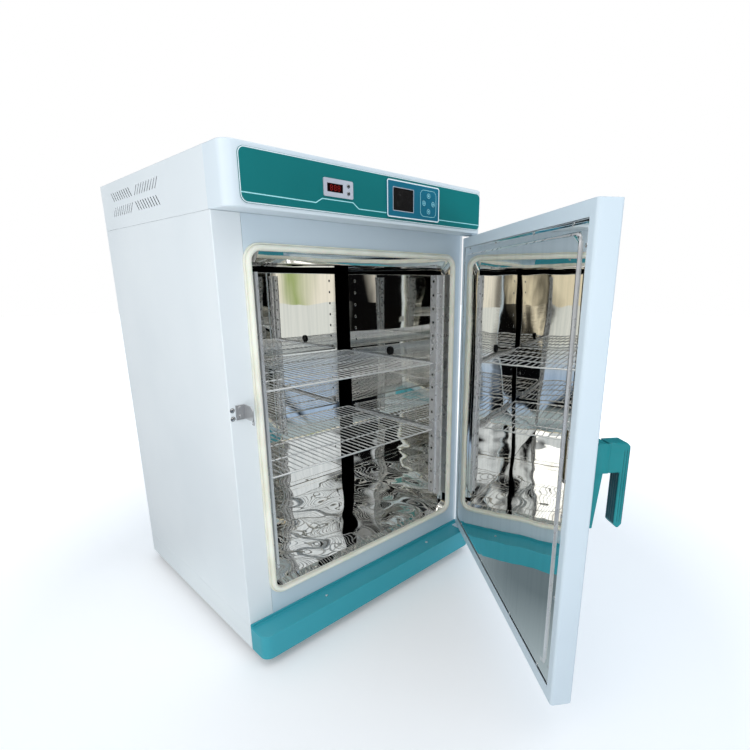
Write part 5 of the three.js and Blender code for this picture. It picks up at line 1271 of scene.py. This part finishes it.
def port_plug():
    """An outline of face, rim and stem, turned about the port's middle."""
    low, high = box_mm("port_plug")
    centre = (low[0], (low[1] + high[1]) / 2, (low[2] + high[2]) / 2)
    edge, end = (high[1] - low[1]) / 2, high[0] - low[0]
    rim = [(edge - inward, depth) for inward, depth in PLUG_RIM]
    stem = [(radius, end - short) for radius, short in PLUG_STEM]
    plug = turned(list(PLUG_FACE) + rim + [PLUG_NECK] + stem, centre, (1, 0, 0), 36)
    put("port_plug_turned", [plug], "black_rubber", "cabinet", ("port_plug",))


port_plug()


PIN_SIZE = (1.6, 14, 4.2)
PIN_PLACES = ((0, 4.5), (-8.5, -3.5), (8.5, -3.5))
PIN_FOOT = 3.1
PIN_ROUNDING = 0.4


def block_grid(low, high):
    """A box as eight corner points and six faces."""
    corners = np.array([[x, y, z] for x in (low[0], high[0]) for y in (low[1], high[1])
                        for z in (low[2], high[2])])
    return corners, [[0, 1, 3, 2], [4, 6, 7, 5], [0, 4, 5, 1], [2, 3, 7, 6], [0, 2, 6, 4], [1, 5, 7, 3]]


def inlet_pins():
    """Three flat blades that stand out from the bottom of the inlet's recess."""
    low, high = box_mm("power_inlet")
    centre = (low + high) / 2
    width, length, depth = PIN_SIZE
    half = np.array([width, 0, depth]) / 2
    parts = []
    for aside, above in PIN_PLACES:
        foot = np.array([centre[0] + aside, low[1] + PIN_FOOT, centre[2] + above])
        parts.append(block_grid(foot - half, foot + half + (0, length, 0)))
    piece = put("inlet_pins", parts, "bright_steel", "cabinet", smooth=False)
    soften = piece.modifiers.new("rounding", "BEVEL")
    soften.width = PIN_ROUNDING * MM
    soften.segments = 2


inlet_pins()


# Screws

FLANGE_GAP = 0.05
FLANGE_SIDE_X = 349
FLANGE_END_Z = (125.5, 959.5)
SIDE_SCREWS_Z = (160, 925, 6)
LATCH_SCREW = 2
LATCH_SCREW_RISE = 12
END_SCREWS_X = (-301, -141, 83, 301)
LEDGE_SCREWS_X = (-177, 203)
LEDGE_SCREW_Y = -28
LEDGE_DROP = 8


def mirror_screws():
    """Screws down both sides of the door mirror's flange and along both its ends."""
    y = FLANGE_Y - FLANGE_GAP
    heights = np.linspace(*SIDE_SCREWS_Z)
    heights[LATCH_SCREW] += LATCH_SCREW_RISE
    sides = [(x, y, z) for x in (-FLANGE_SIDE_X, FLANGE_SIDE_X) for z in heights]
    ends = [(x, y, z) for z in FLANGE_END_Z for x in END_SCREWS_X]
    inward = from_closed_door([[0, 1, 0]])[0] - from_closed_door([[0, 0, 0]])[0]
    screw_heads("mirror_screws", from_closed_door(sides + ends), inward, 3.6, 1.5, "door")


mirror_screws()
ledge_top = box_mm("plinth")[1][2] - LEDGE_DROP
screw_heads("ledge_screws", [(x, LEDGE_SCREW_Y, ledge_top) for x in LEDGE_SCREWS_X], (0, 0, 1), 4.2, 1.9,
            "cabinet")

STRIKER_SCREW_INSET = 7
STRIKER_SCREW_DROPS = (10, 28)
STRIKER_SCREW_RADIUS = 4.2
WASHER_RADIUS = 5.0
WASHER_HEIGHT = 0.5


def striker_screws():
    """Two screws in the striker's plate, each in a rubber ring."""
    low, high = box_mm("striker")
    spots = [(low[0] - STRIKER_SCREW_INSET, high[1], high[2] - drop) for drop in STRIKER_SCREW_DROPS]
    screw_heads("striker_screws", spots, (0, -1, 0), STRIKER_SCREW_RADIUS, 2.2, "cabinet")
    ring = [(STRIKER_SCREW_RADIUS, 0), (WASHER_RADIUS, 0), (WASHER_RADIUS, WASHER_HEIGHT),
            (STRIKER_SCREW_RADIUS, WASHER_HEIGHT)]
    washers = [turned(ring, spot, (0, -1, 0), 24, closed=True) for spot in spots]
    put("striker_washers", washers, "black_rubber", "cabinet")


striker_screws()

BACK_SCREW_INSET = 12
BACK_SCREWS = (5, 7)


def back_screws():
    """Screws round the back panel, just inside its edges."""
    low, high = box_mm("back_panel")
    across, up = (np.linspace(low[axis] + BACK_SCREW_INSET, high[axis] - BACK_SCREW_INSET, count)
                  for axis, count in zip((0, 2), BACK_SCREWS))
    spots = [(x, high[1], z) for z in (up[0], up[-1]) for x in across]
    spots += [(x, high[1], z) for x in (across[0], across[-1]) for z in up[1:-1]]
    screw_heads("back_screws", spots, (0, 1, 0), 4, 1.9, "cabinet")


back_screws()


# Studio: a pale floor, a soft surround and three large lights. Mirrors see their own darker room.

WHITE = (1, 1, 1, 1)
# A made-up room for the mirrors: a dark hall with pale openings, a hedge outside and sky above it
ROOM_TONES = {"dark": "0b0b0c", "dusk": "26292c", "cream": "ebe1c6", "pale": "f5f0e2", "leaf": "a6b67a",
              "sky": "e4ecf4"}
BAND_EDGE = 0.003
BAND_DRIFT = 0.0025
# Round the room from the -X way over -Y: where each band ends, as a share of a whole turn, and its tone
ROOM_BANDS = (
    (0.010, "dark"), (0.027, "cream"), (0.085, "dark"), (0.091, "cream"), (0.128, "dark"), (0.132, "pale"),
    (0.145, "dark"), (0.155, "pale"), (0.161, "leaf"), (0.177, "pale"), (0.192, "dark"), (0.201, "pale"),
    (0.210, "dark"), (0.600, "dusk"), (1.000, "dark"))
HIGH_BANDS = (
    (0.010, "dark"), (0.025, "sky"), (0.083, "dark"), (0.090, "sky"), (0.128, "dark"), (0.132, "sky"),
    (0.146, "dark"), (0.175, "sky"), (0.193, "dark"), (0.202, "sky"), (0.210, "dark"), (0.800, "dusk"),
    (1.000, "dark"))
GROUND_BANDS = (
    (0.013, "dark"), (0.045, "sky"), (0.086, "dark"), (0.091, "pale"), (0.144, "dark"), (0.186, "sky"),
    (0.192, "dark"), (0.205, "sky"), (0.215, "dark"), (0.850, "dusk"), (1.000, "dark"))


class Stage(Tree):
    """The nodes of the surround or of the floor, from none."""

    def __init__(self, owner):
        super().__init__(owner)
        self.tree.nodes.clear()

    def round_bands(self, place, x, y, bands):
        """Colours by the heading of a place, with edges that wander a little."""
        share = self.ranged(self.maths("ARCTAN2", y, x), -math.pi, math.pi)
        stir = self.node("ShaderNodeTexNoise", {"Vector": place, "Scale": 5.0, "Detail": 3.0}).outputs[0]
        moved = self.maths("ADD", share, self.ranged(stir, 0, 1, -BAND_DRIFT, BAND_DRIFT))
        ramp = self.node("ShaderNodeValToRGB", {"Fac": moved})
        stops = ramp.color_ramp.elements
        starts = [0.0] + [end + BAND_EDGE for end, tone in bands[:-1]]
        marks = [(edge, tone) for start, (end, tone) in zip(starts, bands) for edge in (start, end)]
        for stop, (position, tone) in zip(stops, (marks[0], marks[-1])):
            stop.position, stop.color = position, srgb(ROOM_TONES[tone])
        for position, tone in marks[1:-1]:
            stops.new(position).color = srgb(ROOM_TONES[tone])
        return ramp.outputs[0]


FLOOR_HALF = 14
FLOOR_COLOUR = "f6f6f7"
# What mirrors see of the floor: two dark tones near the oven, a painted shadow, then the bands, tinted from
# cool to warm
SHADED_TONES = ("66747a", "a6b5bb")
FLOOR_TINTS = ((0.5, 0.62, 0.8, 1), (1, 0.96, 0.86, 1))
FLOOR_GLOWS = (0.16, 0.75)
# Metres from the oven's middle between which each of them changes
SHADED_REACH = (0.15, 0.45)
BANDS_REACH = (0.6, 0.85)
TINT_REACH = (2.0, 4.5)
GLOW_REACH = (0.9, 2.2)


def floor_paint():
    """Pale paint with a painted glow that grows with distance, so the floor far off is white. Mirrors see a
    darker floor in its place, with a painted shadow near the oven.
    """
    ground = bpy.data.materials.new("floor_paint")
    tree = Stage(ground)
    place = tree.node("ShaderNodeTexCoord").outputs["Object"]
    split = tree.node("ShaderNodeSeparateXYZ", {0: place}).outputs
    reach = tree.node("ShaderNodeVectorMath", {0: place}, operation="LENGTH").outputs["Value"]
    # A painted glow, stronger away from the oven
    paint = tree.node("ShaderNodeBsdfPrincipled", {
        "Base Color": srgb(FLOOR_COLOUR), "Roughness": 0.7, "Emission Color": WHITE,
        "Emission Strength": tree.ranged(reach, *GLOW_REACH, *FLOOR_GLOWS)})
    bands = tree.round_bands(place, split[0], split[1], GROUND_BANDS)
    tint = tree.mixed(tree.ranged(reach, *TINT_REACH), *FLOOR_TINTS)
    tinted = tree.node("ShaderNodeMix", {0: 1.0, 6: bands, 7: tint}, data_type="RGBA",
                       blend_type="MULTIPLY").outputs[2]
    # Painted shadow: the dark tones that mirrors see on the floor near the oven
    shaded = tree.mixed(tree.ranged(reach, *SHADED_REACH), *(srgb(tone) for tone in SHADED_TONES))
    near = tree.ranged(reach, *BANDS_REACH, 1, 0)
    mirrored = tree.node("ShaderNodeEmission", {"Color": tree.mixed(near, tinted, shaded)})
    path = tree.node("ShaderNodeLightPath").outputs["Is Glossy Ray"]
    both = tree.node("ShaderNodeMixShader", {0: path, 1: paint.outputs[0], 2: mirrored.outputs[0]})
    tree.node("ShaderNodeOutputMaterial", {0: both.outputs[0]})
    return ground


def floor():
    """One large square under the oven."""
    mesh = bpy.data.meshes.new("floor")
    corners = (-1, -1), (1, -1), (1, 1), (-1, 1)
    mesh.from_pydata([(FLOOR_HALF * x, FLOOR_HALF * y, 0) for x, y in corners], [], [(0, 1, 2, 3)])
    mesh.materials.append(floor_paint())
    piece = bpy.data.objects.new("floor", mesh)
    bpy.context.scene.collection.objects.link(piece)


floor()


def soft_light(name, at, toward, size, power, colour=(1, 1, 1), mirrored=True):
    """A rectangle that lights the oven from one point toward another, with its width and height."""
    data = bpy.data.lights.new(name, "AREA")
    data.shape = "RECTANGLE"
    data.size, data.size_y = size
    data.energy = power
    data.color = colour
    lamp = bpy.data.objects.new(name, data)
    lamp.visible_glossy = mirrored
    aim = Vector(toward) - Vector(at)
    lamp.matrix_world = Matrix.Translation(at) @ aim.to_track_quat("-Z", "Y").to_matrix().to_4x4()
    bpy.context.scene.collection.objects.link(lamp)


soft_light("window_light", (-3.2, -0.2, 2.6), (0, 0.2, 0.5), (2.4, 2.4), 20, (1, 0.99, 0.97))
soft_light("ceiling_light", (-0.4, -1.6, 3.4), (0, 0, 0.4), (3.0, 2.0), 24, (0.97, 0.985, 1))
soft_light("front_fill", (-0.5, -2.8, 0.55), (0, 0, 0.6), (2.4, 0.9), 4, mirrored=False)


# How far up a way points where the high bands, and then the ceiling, start to take over and are done
HIGH_FROM = (0.1, 0.2)
CEILING_FROM = (0.56, 0.66)
CEILING_COLOUR = "e6e8e8"
# The surround's light on all but mirrors, from the left to the right
SOFT_FROM = (-1, 0.4)
SOFT_TONES = ((0.78, 0.80, 0.81, 1), (0.55, 0.64, 0.73, 1))


def surround():
    """White for the camera, the room for mirrors and a soft cool light for everything else."""
    world = bpy.data.worlds.new("surround")
    tree = Stage(world)
    way = tree.node("ShaderNodeTexCoord").outputs["Generated"]
    split = tree.node("ShaderNodeSeparateXYZ", {0: way}).outputs
    bands, high = (tree.round_bands(way, split[0], split[1], part) for part in (ROOM_BANDS, HIGH_BANDS))
    walls = tree.mixed(tree.ranged(split[2], *HIGH_FROM), bands, high)
    room = tree.mixed(tree.ranged(split[2], *CEILING_FROM), walls, srgb(CEILING_COLOUR))
    soft = tree.mixed(tree.ranged(split[0], *SOFT_FROM), *SOFT_TONES)
    path = tree.node("ShaderNodeLightPath").outputs
    seen = tree.mixed(path["Is Camera Ray"], tree.mixed(path["Is Glossy Ray"], soft, room), WHITE)
    back = tree.node("ShaderNodeBackground", {"Color": seen})
    tree.node("ShaderNodeOutputWorld", {0: back.outputs[0]})
    bpy.context.scene.world = world


surround()

scene = bpy.context.scene
scene.view_settings.view_transform = "Standard"
scene.view_settings.look = "None"
scene.cycles.max_bounces = 16
scene.cycles.glossy_bounces = 14
scene.cycles.diffuse_bounces = 4
scene.cycles.use_denoising = True
scene.cycles.sample_clamp_indirect = 6
